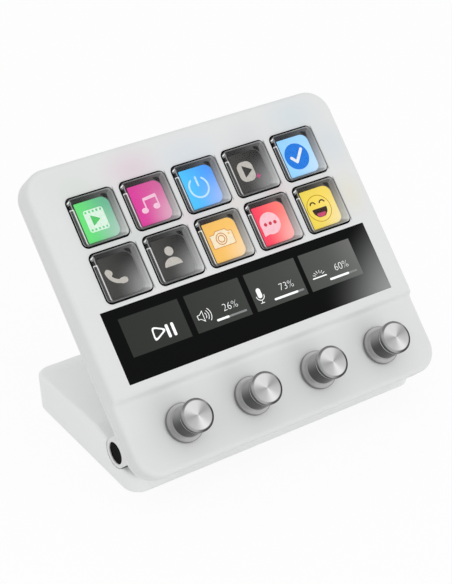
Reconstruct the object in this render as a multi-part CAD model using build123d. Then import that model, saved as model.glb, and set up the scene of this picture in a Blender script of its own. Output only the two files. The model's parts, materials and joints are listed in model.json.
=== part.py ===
from build123d import *
import os

# Macro keypad: ten clear display keys, a touch strip and four push-and-turn knobs on a panel
# that tilts on a flat wedge base.
#
# Row frame, millimetres: the origin is on the desk under the middle of the base, +X to the
# user's right, +Y away from the user, +Z up. The panel is built in its own frame, with its
# origin on the hinge axis, +Y up the panel and +Z out of its face, and is then tilted.

# ---- panel -----------------------------------------------------------------------------
TILT = 44.5  # angle between the panel and the desk, degrees
PANEL_SIDE = 8.55  # panel beside the strip or the key frame, whichever is wider
PANEL_ABOVE_KEYS = 13.35
PANEL_CORNER = 9.8
PANEL_THICKNESS = 11.0
FRONT_SHELL_DEPTH = 8.0  # from the face back to the seam between the two shells
FRONT_EDGE_ROUND = 1.8
STEEPEST_FACE = 80  # faces that lean more than this from level count as walls, degrees
REAR_EDGE_ROUND = 1.5
SEAM_CHAMFER = 0.3
PANEL_WALL = 1.8
PANEL_SKIN = 1.2
COVER_FLOOR = 1.6
STEP_DEPTH = 2.2  # how far the knob zone lies below the key zone
STEP_FROM_BOTTOM = 31.7
STEP_RUN = 3.4
HINGE_FROM_BOTTOM = 15.45  # hinge axis above the panel's bottom edge, along the panel
HINGE_BEHIND_FACE = 21.2

# ---- keys ------------------------------------------------------------------------------
KEY_COLUMNS = 5
KEY_ROWS = 2
KEY_GAP_X = 2.6  # between the collars of neighbouring keys
KEY_GAP_Y = 1.97
KEYS_ABOVE_STRIP = 1.68
COLLAR_WIDTH = 20.2
COLLAR_HEIGHT = 20.1
COLLAR_CORNER = 2.5
COLLAR_WALL = 0.45
COLLAR_RISE = 0.15
WINDOW_CLEARANCE = 0.05
KEY_CLEARANCE = 0.1
KEY_RISE = 1.2  # cap above the face at rest; more than its travel, so it never sinks below
KEY_TOP_ROUND = 0.6
KEY_TRAVEL = 0.8
KEY_FLANGE = 0.5
KEY_FLANGE_THICKNESS = 0.6
KEY_SEAT_GAP = 0.05
FRAME_THICKNESS = 1.3
FRAME_ROOF = 0.4
FRAME_MARGIN = 1.1
KEY_STOP_GAP = 0.15  # left above the display with a key fully pressed

# ---- displays, chassis and board ---------------------------------------------------------
STRIP_WIDTH = 119.9
STRIP_HEIGHT = 27.8
STRIP_ABOVE_STEP = 2.9
STRIP_GLASS_THICKNESS = 1.1
STRIP_INSET = 0.05
STRIP_MODULE_MARGIN = 1.2
DISPLAY_THICKNESS = 2.0
DISPLAY_CORNER = 1.0
CHASSIS_PLATE = 0.8
CHASSIS_LEG_RADIUS = 2.0
CHASSIS_MARGIN = 1.5
BOARD_THICKNESS = 1.2
BOARD_GAP = 0.2  # board above the cover's floor, on raised pads
BOARD_CLEARANCE = 0.4
LED_WIDTH = 3.5
LED_DEPTH = 2.8
LED_THICKNESS = 0.9
LEDS_PER_SIDE = 3
CHIP_THICKNESS = 1.0
CHIP_CORNER = 0.3
CONTROLLER_SIZE = 10.0
CONTROLLER_FROM_MIDDLE = 20.0
MEMORY_WIDTH = 8.0
MEMORY_DEPTH = 6.0
CONNECTOR_HEIGHT = 1.2
CONNECTOR_DEPTH = 4.0
KEY_CONNECTOR_WIDTH = 24.0
STRIP_CONNECTOR_WIDTH = 16.0
STRIP_CONNECTOR_FROM_MIDDLE = 25.0

# ---- cable inlet -------------------------------------------------------------------------
INLET_WIDTH = 8.94
INLET_HEIGHT = 3.26
INLET_DEPTH = 7.3
INLET_WALL = 0.3
INLET_CLEARANCE = 0.15
INLET_LIFT = 0.25  # inlet above the board
TONGUE_WIDTH = 6.7
TONGUE_THICKNESS = 0.7
TONGUE_SETBACK = 0.7
TONGUE_ROOT = 1.0

# ---- knobs and encoders ------------------------------------------------------------------
KNOB_COUNT = 4
KNOB_PITCH = 30.14
KNOB_FROM_BOTTOM = 15.2
KNOB_LIFT = 0.6  # flange above the panel at rest
KNOB_TRAVEL = 0.5
KNOB_FLANGE_RADIUS = 7.43
KNOB_FLANGE_THICKNESS = 1.0
KNOB_GRIP_RADIUS = 6.0
KNOB_GRIP_HEIGHT = 9.2
KNOB_GROOVE_RADIUS = 5.75
KNOB_GROOVE_WIDTH = 0.35
KNOB_CAP_RADIUS = 6.28
KNOB_CAP_HEIGHT = 2.05
KNOB_CAP_CHAMFER = 0.35
KNOB_RECESS_RADIUS = 4.4
KNOB_RECESS_DEPTH = 1.3
ENCODER_SIZE = 11.6
ENCODER_CORNER = 0.8
ENCODER_HEADROOM = 0.2
ENCODER_FLOOR = 1.0
ENCODER_ROOF = 0.8
BUSH_RADIUS = 3.8
BUSH_RISE = 0.3  # bush above the knob zone's face
BUSH_HOLE_CLEARANCE = 0.2
ROTOR_RADIUS = 4.3
ROTOR_SLEEVE_RADIUS = 3.0
ROTOR_CLEARANCE = 0.1
ROTOR_DETENTS = 12
DETENT_RADIUS = 0.5
BEARING_CLEARANCE = 0.05
SHAFT_RADIUS = 2.0
SHAFT_FLAT = 1.4  # flat of the shaft from its axis
SHAFT_BOTTOM_GAP = 0.1
SHAFT_IN_KNOB = 8.0
KNOB_FIT = 0.02

# ---- screws ------------------------------------------------------------------------------
POST_RADIUS = 2.4
POST_FROM_SIDE = 5.1
POST_FROM_BOTTOM = 6.0
POST_MIDDLE_FROM_BOTTOM = 69.0
POST_FROM_TOP = 8.1
SCREW_RADIUS = 1.0
SCREW_HEAD_RADIUS = 2.0
SCREW_HEAD_DEPTH = 0.9
SCREW_LENGTH = 6.4
SCREW_HOLE_CLEARANCE = 0.15
SCREW_HEAD_CLEARANCE = 0.1
SCREW_FIT = 0.02
SCREW_SLOT_RADIUS = 0.7
SCREW_SLOT_DEPTH = 0.6

# ---- base --------------------------------------------------------------------------------
BASE_INSET = 2.4  # base narrower than the panel, on each side
BASE_DEPTH = 70.6  # at the foot
BASE_CORNER = 6.8
BASE_LIFT = 0.3  # shell above the desk
BASE_BACK_HEIGHT = 14.2
BASE_BACK_LEAN = 2.1  # the back wall's top edge behind its foot
BASE_SHOULDER_HEIGHT = 15.2
BASE_SHOULDER_RUN = 5.0  # where the top falls away to the back edge
BASE_SHOULDER_ROUND = 15.0
BASE_CREST_HEIGHT = 16.9
BASE_CREST_ROUND = 5.0
BASE_LIP_HEIGHT = 8.2
BASE_EDGE_ROUND = 1.5
BASE_FOOT_ROUND = 1.0
BASE_WALL = 2.6
BASE_RIM = 1.4  # rim round the bottom cover; the rest of the wall is the ledge it lies on
PLATE_THICKNESS = 1.6
PLATE_CLEARANCE = 0.1
MAT_THICKNESS = 1.0
MAT_MARGIN = 4.0
MAT_CORNER = 2.0
BALLAST_FROM_POSTS = 4.5
BALLAST_THICKNESS = 4.5
BALLAST_CLEARANCE = 1.5
BALLAST_CORNER = 3.0
BASE_POST_RADIUS = 3.0
BASE_POST_FROM_SIDE = 11.0
BASE_POST_FROM_BACK = 7.5
BASE_POST_FROM_CRADLE = 6.5

# ---- hinge -------------------------------------------------------------------------------
HINGE_FROM_FRONT = 11.85  # hinge axis behind the base's front face
HINGE_HEIGHT = 12.9
BARREL_RADIUS = 5.8
KNUCKLE_LENGTH = 20.0
KNUCKLE_INSET = 0.2  # outer end of a knuckle inside the base's side
HINGE_GAP = 0.8  # between a knuckle and the middle barrel
CRADLE_CLEARANCE = 0.35
CREST_FROM_HINGE = 14.0
DIP_FROM_HINGE = 4.6
DIP_RISE = 2.1
LIP_REAR_FROM_HINGE = 3.8
LIP_REAR_DROP = 4.7
PIN_RADIUS = 2.5
PIN_IN_BARREL = 12.0
PIN_IN_KNUCKLE = 14.0
PIN_BORE_DEPTH = 14.5
WASHER_THICKNESS = 0.7
WASHER_BORE_CLEARANCE = 0.1
WASHER_RADIUS = 5.6
PLUG_RADIUS = 4.35
PLUG_CLEARANCE = 0.04
PLUG_DEPTH = 2.2
PLUG_RECESS = 0.4

# ---- levels and places worked out from the sizes above -------------------------------------
KEY_PITCH_X = COLLAR_WIDTH + KEY_GAP_X
KEY_PITCH_Y = COLLAR_HEIGHT + KEY_GAP_Y
FRAME_WIDTH = (KEY_COLUMNS - 1) * KEY_PITCH_X + COLLAR_WIDTH + 2 * FRAME_MARGIN
FRAME_HEIGHT = (KEY_ROWS - 1) * KEY_PITCH_Y + COLLAR_HEIGHT + 2 * FRAME_MARGIN
PANEL_WIDTH = max(STRIP_WIDTH, FRAME_WIDTH) + 2 * PANEL_SIDE

FACE = HINGE_BEHIND_FACE
KNOB_FACE = FACE - STEP_DEPTH
BACK = FACE - PANEL_THICKNESS
SEAM = FACE - FRONT_SHELL_DEPTH
BOTTOM = -HINGE_FROM_BOTTOM
STEP_TOP = BOTTOM + STEP_FROM_BOTTOM
STRIP_MIDDLE = STEP_TOP + STRIP_ABOVE_STEP + STRIP_HEIGHT / 2
LOW_ROW = STRIP_MIDDLE + STRIP_HEIGHT / 2 + KEYS_ABOVE_STRIP + COLLAR_HEIGHT / 2
TOP_ROW = LOW_ROW + (KEY_ROWS - 1) * KEY_PITCH_Y
FRAME_MIDDLE = (LOW_ROW + TOP_ROW) / 2
TOP = TOP_ROW + COLLAR_HEIGHT / 2 + PANEL_ABOVE_KEYS
PANEL_MIDDLE = (BOTTOM + TOP) / 2

CEILING = FACE - PANEL_SKIN
KNOB_CEILING = KNOB_FACE - PANEL_SKIN
BOARD_LOW = BACK + COVER_FLOOR + BOARD_GAP
BOARD_TOP = BOARD_LOW + BOARD_THICKNESS

FRAME_LOW = CEILING - FRAME_THICKNESS
FLANGE_TOP = CEILING - FRAME_ROOF - KEY_SEAT_GAP
FLANGE_LOW = FLANGE_TOP - KEY_FLANGE_THICKNESS
CAP_WIDTH = COLLAR_WIDTH - 2 * (COLLAR_WALL + KEY_CLEARANCE)
CAP_HEIGHT = COLLAR_HEIGHT - 2 * (COLLAR_WALL + KEY_CLEARANCE)
CAP_CORNER = COLLAR_CORNER - COLLAR_WALL - KEY_CLEARANCE
POCKET_MARGIN = KEY_FLANGE + 2 * KEY_CLEARANCE
KEY_PLACES = [
    ((column - (KEY_COLUMNS - 1) / 2) * KEY_PITCH_X, TOP_ROW - row * KEY_PITCH_Y)
    for row in range(KEY_ROWS)
    for column in range(KEY_COLUMNS)
]

DISPLAY_TOP = FLANGE_LOW - KEY_TRAVEL - KEY_STOP_GAP
CHASSIS_TOP = DISPLAY_TOP - DISPLAY_THICKNESS
STRIP_GLASS_LOW = FACE - STRIP_INSET - STRIP_GLASS_THICKNESS
STRIP_MODULE_LOW = STRIP_GLASS_LOW - DISPLAY_THICKNESS
STRIP_MODULE_WIDTH = STRIP_WIDTH - 2 * STRIP_MODULE_MARGIN
STRIP_MODULE_HEIGHT = STRIP_HEIGHT - 2 * STRIP_MODULE_MARGIN

INLET_MIDDLE = BOARD_TOP + INLET_LIFT + INLET_HEIGHT / 2

KNOB_LINE = BOTTOM + KNOB_FROM_BOTTOM
KNOB_PLACES = [((k - (KNOB_COUNT - 1) / 2) * KNOB_PITCH, KNOB_LINE) for k in range(KNOB_COUNT)]
KNOB_LOW = KNOB_FACE + KNOB_LIFT
ENCODER_TOP = KNOB_CEILING - ENCODER_HEADROOM
CAVITY_LOW = BOARD_TOP + ENCODER_FLOOR
CAVITY_TOP = ENCODER_TOP - ENCODER_ROOF
BUSH_TOP = KNOB_FACE + BUSH_RISE
SHAFT_LOW = CAVITY_LOW + KNOB_TRAVEL + SHAFT_BOTTOM_GAP
SHAFT_TOP = KNOB_LOW + SHAFT_IN_KNOB

POST_X = PANEL_WIDTH / 2 - POST_FROM_SIDE
POST_PLACES = [
    (side * POST_X, height)
    for side in (-1, 1)
    for height in (BOTTOM + POST_FROM_BOTTOM, BOTTOM + POST_MIDDLE_FROM_BOTTOM, TOP - POST_FROM_TOP)
]

BASE_WIDTH = PANEL_WIDTH - 2 * BASE_INSET
FRONT = -BASE_DEPTH / 2
REAR = BASE_DEPTH / 2
HINGE_Y = FRONT + HINGE_FROM_FRONT
CRADLE_RADIUS = BARREL_RADIUS + CRADLE_CLEARANCE
CAVITY_FRONT = HINGE_Y + CRADLE_RADIUS + BASE_WALL
PLATE_TOP = BASE_LIFT + PLATE_THICKNESS
BASE_POST_X = BASE_WIDTH / 2 - BASE_POST_FROM_SIDE
BASE_POST_PLACES = [
    (side * BASE_POST_X, y)
    for side in (-1, 1)
    for y in (CAVITY_FRONT + BASE_POST_FROM_CRADLE, REAR - BASE_POST_FROM_BACK)
]

KNUCKLE_OUTER = BASE_WIDTH / 2 - KNUCKLE_INSET
KNUCKLE_INNER = KNUCKLE_OUTER - KNUCKLE_LENGTH
BARREL_END = KNUCKLE_INNER - HINGE_GAP

HEAD = Pos(0, HINGE_Y, HINGE_HEIGHT) * Rot(TILT, 0, 0)


# ---- small shapes used all over ------------------------------------------------------------
def block(width, height, corner, low, high, x=0, y=0):
    """A rounded rectangle round (x, y), standing from one level up to another."""
    return Pos(x, y, low) * extrude(RectangleRounded(width, height, corner), high - low)


def disc(radius, low, high, x=0, y=0):
    """A round disc or post round (x, y), from one level up to another."""
    return Pos(x, y, low) * extrude(Circle(radius), high - low)


def bar(radius, start, end, y=0, z=0):
    """A round bar along X, from one end to the other."""
    return Pos(start, y, z) * extrude(Plane.YZ * Circle(radius), end - start)


def across(profile, half_width):
    """A side view in Y and Z, drawn out to both sides of the middle."""
    return extrude(Plane.YZ * profile, half_width, both=True)


def countersink(wide, narrow):
    """A cone that narrows upwards over the depth of a screw's head."""
    return Pos(0, 0, SCREW_HEAD_DEPTH / 2) * Cone(wide, narrow, SCREW_HEAD_DEPTH)


def screw(low, length, x, y):
    """A countersunk screw with its flat head down and a round driver recess."""
    head = countersink(SCREW_HEAD_RADIUS, SCREW_RADIUS)
    shank = disc(SCREW_RADIUS, 0, length)
    recess = disc(SCREW_SLOT_RADIUS, 0, SCREW_SLOT_DEPTH)
    return Pos(x, y, low) * (head + shank - recess)


def screw_hole(low, top, x, y):
    """The clearance hole of a countersunk screw through a wall."""
    wide = SCREW_HEAD_RADIUS + SCREW_HEAD_CLEARANCE
    narrow = SCREW_RADIUS + SCREW_HOLE_CLEARANCE
    return Pos(x, y, low) * countersink(wide, narrow) + disc(narrow, low, top, x, y)


def border(faces):
    """The edges that only one of the faces has: the outline they share."""
    edges = [edge for face in faces for edge in face.edges()]
    return [edge for edge in edges if sum(edge.is_same(other) for other in edges) == 1]


def facing_up(shape):
    """The faces that make the top of a shape, level or sloping."""
    up = Vector(0, 0, 1)
    return [face for face in shape.faces() if face.normal_at().get_angle(up) < STEEPEST_FACE]


def save(name, *solids):
    """Write one node."""
    shape = solids[0] if len(solids) == 1 else Compound(children=list(solids))
    export_step(shape, f"parts/{name}.step")


def save_head(name, *solids):
    """Write one node that was built in the panel's own frame."""
    save(name, *[HEAD * solid for solid in solids])


# ---- panel shells --------------------------------------------------------------------------
def stepped(upper, lower, low):
    """Side view of the panel's front: two level faces joined by a soft S-shaped step."""
    high_end = (STEP_TOP, upper)
    low_end = (STEP_TOP - STEP_RUN, lower)
    slope = Spline(high_end, low_end, tangents=[(-1, 0), (-1, 0)])
    rest = Polyline(low_end, (BOTTOM, lower), (BOTTOM, low), (TOP, low), (TOP, upper), high_end)
    return make_face(slope.edges() + rest.edges())


def panel_block(low, high, inset=0):
    """The panel's plan, drawn in by an inset, between two levels."""
    width = PANEL_WIDTH - 2 * inset
    height = TOP - BOTTOM - 2 * inset
    return block(width, height, PANEL_CORNER - inset, low, high, 0, PANEL_MIDDLE)


def inlet_shape(width, height, start, depth):
    """A stadium-shaped plug space, drawn down from the panel's top edge."""
    mouth = Plane((0, start, INLET_MIDDLE), x_dir=(1, 0, 0), z_dir=(0, -1, 0))
    return mouth * extrude(SlotOverall(width, height), depth)


def front_bezel():
    """Moulded front shell: stepped face, rounded edge, windows, knob holes and screw posts."""
    shell = across(stepped(FACE, KNOB_FACE, SEAM), PANEL_WIDTH / 2) & panel_block(SEAM, FACE)
    shell = fillet(border(facing_up(shell)), FRONT_EDGE_ROUND)
    hollow = across(stepped(CEILING, KNOB_CEILING, SEAM), PANEL_WIDTH / 2)
    shell -= hollow & panel_block(SEAM, FACE, PANEL_WALL)
    gap = 2 * WINDOW_CLEARANCE
    for x, y in KEY_PLACES:
        shell -= block(COLLAR_WIDTH + gap, COLLAR_HEIGHT + gap, COLLAR_CORNER, SEAM, FACE, x, y)
    shell -= Pos(0, STRIP_MIDDLE, FACE) * Box(STRIP_WIDTH + gap, STRIP_HEIGHT + gap, PANEL_THICKNESS)
    for x, y in KNOB_PLACES:
        shell -= disc(BUSH_RADIUS + BUSH_HOLE_CLEARANCE, SEAM, FACE, x, y)
    for x, y in POST_PLACES:
        ceiling = CEILING if y > STEP_TOP else KNOB_CEILING
        shell += disc(POST_RADIUS, BOARD_TOP, ceiling, x, y)
        shell -= disc(SCREW_RADIUS + SCREW_FIT, BOARD_TOP, ceiling - SCREW_FIT, x, y)
    mouth = 2 * INLET_CLEARANCE
    return shell - inlet_shape(INLET_WIDTH + mouth, INLET_HEIGHT + mouth, TOP, PANEL_WALL)


def rear_cover():
    """Moulded rear shell: a shallow tray with two knuckles that reach back to the hinge axis."""
    tray = panel_block(BACK, SEAM)
    tray = fillet(tray.faces().sort_by(Axis.Z)[0].edges(), REAR_EDGE_ROUND)
    tray = chamfer(tray.faces().sort_by(Axis.Z)[-1].edges(), SEAM_CHAMFER)
    tray -= panel_block(BACK + COVER_FLOOR, SEAM, PANEL_WALL)
    arm_top = BACK + COVER_FLOOR
    arm = Circle(BARREL_RADIUS) + Pos(0, arm_top / 2) * Rectangle(2 * BARREL_RADIUS, arm_top)
    for side in (-1, 1):
        middle = side * (KNUCKLE_INNER + KNUCKLE_OUTER) / 2
        tray += Pos(middle, 0, 0) * across(arm, KNUCKLE_LENGTH / 2)
        bore_end = side * (KNUCKLE_INNER + PIN_BORE_DEPTH)
        tray -= bar(PIN_RADIUS + BEARING_CLEARANCE, side * KNUCKLE_INNER, bore_end)
        plug_seat = side * (KNUCKLE_OUTER - PLUG_RECESS - PLUG_DEPTH)
        tray -= bar(PLUG_RADIUS + PLUG_CLEARANCE, plug_seat, side * KNUCKLE_OUTER)
    for x, y in POST_PLACES:
        tray += disc(POST_RADIUS, BACK + COVER_FLOOR, BOARD_LOW, x, y)
        tray -= screw_hole(BACK, BOARD_LOW, x, y)
    return tray


# ---- keys ----------------------------------------------------------------------------------
def key_frame():
    """Black frame: a plate with a pocket for each key's flange and a collar round each cap."""
    frame = block(FRAME_WIDTH, FRAME_HEIGHT, COLLAR_CORNER, FRAME_LOW, CEILING, 0, FRAME_MIDDLE)
    for x, y in KEY_PLACES:
        frame += block(COLLAR_WIDTH, COLLAR_HEIGHT, COLLAR_CORNER, CEILING, FACE + COLLAR_RISE, x, y)
    for x, y in KEY_PLACES:
        width = COLLAR_WIDTH - 2 * COLLAR_WALL
        height = COLLAR_HEIGHT - 2 * COLLAR_WALL
        frame -= block(width, height, COLLAR_CORNER - COLLAR_WALL, FRAME_LOW, FACE + COLLAR_RISE, x, y)
        frame -= key_pocket(FRAME_LOW, CEILING - FRAME_ROOF, x, y)
    return frame


def key_pocket(low, high, x, y):
    """The space in which one key's flange travels."""
    width = CAP_WIDTH + 2 * POCKET_MARGIN
    height = CAP_HEIGHT + 2 * POCKET_MARGIN
    return block(width, height, CAP_CORNER, low, high, x, y)


def key_gasket():
    """Soft gasket between the key frame and the display, open under every key."""
    gasket = block(FRAME_WIDTH, FRAME_HEIGHT, COLLAR_CORNER, DISPLAY_TOP, FRAME_LOW, 0, FRAME_MIDDLE)
    for x, y in KEY_PLACES:
        gasket -= key_pocket(DISPLAY_TOP, FRAME_LOW, x, y)
    return gasket


def key_cap(x, y):
    """Clear cap with a rounded top edge and the flange that keeps it under its collar."""
    cap = block(CAP_WIDTH, CAP_HEIGHT, CAP_CORNER, FLANGE_LOW, FACE + KEY_RISE, x, y)
    cap = fillet(cap.faces().sort_by(Axis.Z)[-1].edges(), KEY_TOP_ROUND)
    flange_width = CAP_WIDTH + 2 * KEY_FLANGE
    flange_height = CAP_HEIGHT + 2 * KEY_FLANGE
    return cap + block(flange_width, flange_height, CAP_CORNER, FLANGE_LOW, FLANGE_TOP, x, y)


# ---- displays, chassis and board -------------------------------------------------------------
def strip_glass():
    """Black touch glass, flush in the bezel."""
    glass = Box(STRIP_WIDTH, STRIP_HEIGHT, STRIP_GLASS_THICKNESS)
    return Pos(0, STRIP_MIDDLE, STRIP_GLASS_LOW + STRIP_GLASS_THICKNESS / 2) * glass


def strip_display():
    """Display module bonded under the touch glass."""
    width = STRIP_MODULE_WIDTH
    height = STRIP_MODULE_HEIGHT
    return block(width, height, DISPLAY_CORNER, STRIP_MODULE_LOW, STRIP_GLASS_LOW, 0, STRIP_MIDDLE)


def key_display():
    """The one display module under all the keys."""
    return block(FRAME_WIDTH, FRAME_HEIGHT, DISPLAY_CORNER, CHASSIS_TOP, DISPLAY_TOP, 0, FRAME_MIDDLE)


def chassis():
    """Plate on legs that carries the key display, with a raised deck for the strip display."""
    low_edge = STRIP_MIDDLE - STRIP_MODULE_HEIGHT / 2
    high_edge = FRAME_MIDDLE + FRAME_HEIGHT / 2
    middle = (low_edge + high_edge) / 2
    plate_low = CHASSIS_TOP - CHASSIS_PLATE
    tray = block(FRAME_WIDTH, high_edge - low_edge, DISPLAY_CORNER, plate_low, CHASSIS_TOP, 0, middle)
    deck_height = STRIP_MODULE_HEIGHT - CHASSIS_MARGIN
    deck_middle = STRIP_MIDDLE - CHASSIS_MARGIN / 2
    width = STRIP_MODULE_WIDTH
    tray += block(width, deck_height, DISPLAY_CORNER, CHASSIS_TOP, STRIP_MODULE_LOW, 0, deck_middle)
    reach = FRAME_WIDTH / 2 - CHASSIS_LEG_RADIUS - CHASSIS_MARGIN
    edge = CHASSIS_LEG_RADIUS + CHASSIS_MARGIN
    for x in (-reach, 0, reach):
        for y in (low_edge + edge, high_edge - edge):
            tray += disc(CHASSIS_LEG_RADIUS, BOARD_TOP, plate_low, x, y)
    return tray


def main_board():
    """Circuit board, clamped between the bezel's posts and the cover's pads."""
    board = panel_block(BOARD_LOW, BOARD_TOP, PANEL_WALL + BOARD_CLEARANCE)
    for x, y in POST_PLACES:
        board -= disc(SCREW_RADIUS + SCREW_HOLE_CLEARANCE, BOARD_LOW, BOARD_TOP, x, y)
    return board


def board_parts():
    """Controller, memory and the two display connectors, lying on the board's top."""
    places = [
        (CONTROLLER_SIZE, CONTROLLER_SIZE, CHIP_THICKNESS, -CONTROLLER_FROM_MIDDLE, STRIP_MIDDLE),
        (MEMORY_WIDTH, MEMORY_DEPTH, CHIP_THICKNESS, 0, STRIP_MIDDLE),
        (KEY_CONNECTOR_WIDTH, CONNECTOR_DEPTH, CONNECTOR_HEIGHT, 0, FRAME_MIDDLE),
        (STRIP_CONNECTOR_WIDTH, CONNECTOR_DEPTH, CONNECTOR_HEIGHT, STRIP_CONNECTOR_FROM_MIDDLE, STRIP_MIDDLE),
    ]
    return [
        block(width, depth, CHIP_CORNER, BOARD_TOP, BOARD_TOP + height, x, y)
        for width, depth, height, x, y in places
    ]


def edge_leds():
    """Coloured lamps along both sides of the board, which tint the panel."""
    low_post = BOTTOM + POST_MIDDLE_FROM_BOTTOM
    spacing = (TOP - POST_FROM_TOP - low_post) / (LEDS_PER_SIDE + 1)
    return [
        block(
            LED_WIDTH, LED_DEPTH, CHIP_CORNER, BOARD_TOP, BOARD_TOP + LED_THICKNESS,
            side * POST_X, low_post + k * spacing,
        )
        for side in (-1, 1)
        for k in range(1, LEDS_PER_SIDE + 1)
    ]


def usb_socket():
    """Pressed shell of the cable inlet, open at the panel's top edge."""
    mouth = TOP - PANEL_WALL
    shell = inlet_shape(INLET_WIDTH, INLET_HEIGHT, mouth, INLET_DEPTH)
    foot = Box(INLET_WIDTH - INLET_HEIGHT, INLET_DEPTH, 2 * INLET_LIFT)
    shell += Pos(0, mouth - INLET_DEPTH / 2, BOARD_TOP + INLET_LIFT) * foot
    inside = 2 * INLET_WALL
    return shell - inlet_shape(INLET_WIDTH - inside, INLET_HEIGHT - inside, mouth, INLET_DEPTH - TONGUE_ROOT)


def usb_tongue():
    """Contact tongue that stands in the middle of the inlet."""
    start = TOP - PANEL_WALL - TONGUE_SETBACK
    length = INLET_DEPTH - TONGUE_ROOT - TONGUE_SETBACK
    return Pos(0, start - length / 2, INLET_MIDDLE) * Box(TONGUE_WIDTH, length, TONGUE_THICKNESS)


# ---- encoders and knobs ----------------------------------------------------------------------
def flatted(radius, flat, low, high):
    """A round bar with one flat along it."""
    bar_blank = disc(radius, low, high)
    return bar_blank - Pos(0, flat + radius, (low + high) / 2) * Box(4 * radius, 2 * radius, high - low)


def encoder_body():
    """Square housing with a round chamber for the rotor and the bush that bears its sleeve."""
    body = block(ENCODER_SIZE, ENCODER_SIZE, ENCODER_CORNER, BOARD_TOP, ENCODER_TOP)
    body += disc(BUSH_RADIUS, ENCODER_TOP, BUSH_TOP)
    body -= disc(ROTOR_RADIUS + ROTOR_CLEARANCE, CAVITY_LOW, CAVITY_TOP)
    return body - disc(ROTOR_SLEEVE_RADIUS + BEARING_CLEARANCE, CAVITY_LOW, BUSH_TOP)


def encoder_rotor():
    """Notched detent wheel with the sleeve that turns in the bush."""
    wheel = disc(ROTOR_RADIUS, CAVITY_LOW + ROTOR_CLEARANCE, CAVITY_TOP - ROTOR_CLEARANCE)
    notches = PolarLocations(ROTOR_RADIUS, ROTOR_DETENTS)
    wheel -= notches * disc(DETENT_RADIUS, CAVITY_LOW, CAVITY_TOP)
    wheel += disc(ROTOR_SLEEVE_RADIUS, CAVITY_LOW + ROTOR_CLEARANCE, BUSH_TOP - ROTOR_CLEARANCE)
    clear = BEARING_CLEARANCE
    return wheel - flatted(SHAFT_RADIUS + clear, SHAFT_FLAT + clear, CAVITY_LOW, BUSH_TOP)


def encoder_shaft():
    """Flatted shaft: slides in the rotor and carries the knob."""
    return flatted(SHAFT_RADIUS, SHAFT_FLAT, SHAFT_LOW, SHAFT_TOP)


def knob():
    """Turned knob: foot flange, grip, groove and chamfered cap, bored for the flatted shaft."""
    grip_low = KNOB_LOW + KNOB_FLANGE_THICKNESS
    groove_low = grip_low + KNOB_GRIP_HEIGHT
    cap_low = groove_low + KNOB_GROOVE_WIDTH
    top = cap_low + KNOB_CAP_HEIGHT
    outline = Polyline(
        (0, KNOB_LOW),
        (KNOB_FLANGE_RADIUS, KNOB_LOW),
        (KNOB_FLANGE_RADIUS, grip_low),
        (KNOB_GRIP_RADIUS, grip_low),
        (KNOB_GRIP_RADIUS, groove_low),
        (KNOB_GROOVE_RADIUS, groove_low),
        (KNOB_GROOVE_RADIUS, cap_low),
        (KNOB_CAP_RADIUS, cap_low),
        (KNOB_CAP_RADIUS, top - KNOB_CAP_CHAMFER),
        (KNOB_CAP_RADIUS - KNOB_CAP_CHAMFER, top),
        (0, top),
        close=True,
    )
    turned = revolve(Plane.XZ * make_face(outline), Axis.Z)
    turned -= disc(KNOB_RECESS_RADIUS, KNOB_LOW, KNOB_LOW + KNOB_RECESS_DEPTH)
    return turned - flatted(SHAFT_RADIUS + KNOB_FIT, SHAFT_FLAT + KNOB_FIT, KNOB_LOW, SHAFT_TOP)


# ---- base ------------------------------------------------------------------------------------
def base_profile():
    """Side view of the wedge: low front lip, the dip behind the hinge, crest, shoulder and back."""
    front_wall_foot = (FRONT, BASE_LIFT)
    back_wall_foot = (REAR, BASE_LIFT)
    back_edge = REAR + BASE_BACK_LEAN
    top = FilletPolyline(
        front_wall_foot,
        (FRONT, BASE_LIP_HEIGHT),
        (HINGE_Y - LIP_REAR_FROM_HINGE, HINGE_HEIGHT - LIP_REAR_DROP),
        (HINGE_Y + DIP_FROM_HINGE, HINGE_HEIGHT + DIP_RISE),
        (HINGE_Y + CREST_FROM_HINGE, BASE_CREST_HEIGHT),
        (back_edge - BASE_SHOULDER_RUN, BASE_SHOULDER_HEIGHT),
        (back_edge, BASE_BACK_HEIGHT),
        back_wall_foot,
        radius=[0, 0, 0, BASE_CREST_ROUND, BASE_SHOULDER_ROUND, 0],
    )
    return make_face(top.edges() + Line(back_wall_foot, front_wall_foot).edges())


def base_block(inset, low, high):
    """The base's plan, drawn in by an inset, between two levels."""
    return block(BASE_WIDTH - 2 * inset, BASE_DEPTH - 2 * inset, BASE_CORNER - inset, low, high)


def base_walls():
    """The base's outline: upright in front, and behind in one with a back wall that leans out."""
    rise = BASE_CREST_HEIGHT - BASE_LIFT
    lean = BASE_BACK_LEAN * rise / (BASE_BACK_HEIGHT - BASE_LIFT)
    reach = BASE_DEPTH / 2 + BASE_CORNER + lean
    front = block(BASE_WIDTH, reach, BASE_CORNER, BASE_LIFT, BASE_CREST_HEIGHT, 0, FRONT + reach / 2)
    plan = Pos(0, REAR - reach / 2, BASE_LIFT) * RectangleRounded(BASE_WIDTH, reach, BASE_CORNER)
    return front + Solid.extrude(plan.face(), Vector(0, lean, rise))


def base_room():
    """The hollow of the wedge: its side view lowered by the wall, behind the cradle's wall."""
    depth = REAR - BASE_WALL - CAVITY_FRONT
    middle = CAVITY_FRONT + depth / 2
    width = BASE_WIDTH - 2 * BASE_WALL
    plan = block(width, depth, BASE_CORNER - BASE_WALL, PLATE_TOP, BASE_CREST_HEIGHT, 0, middle)
    return across(Pos(0, -BASE_WALL) * base_profile(), BASE_WIDTH / 2) & plan


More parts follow.
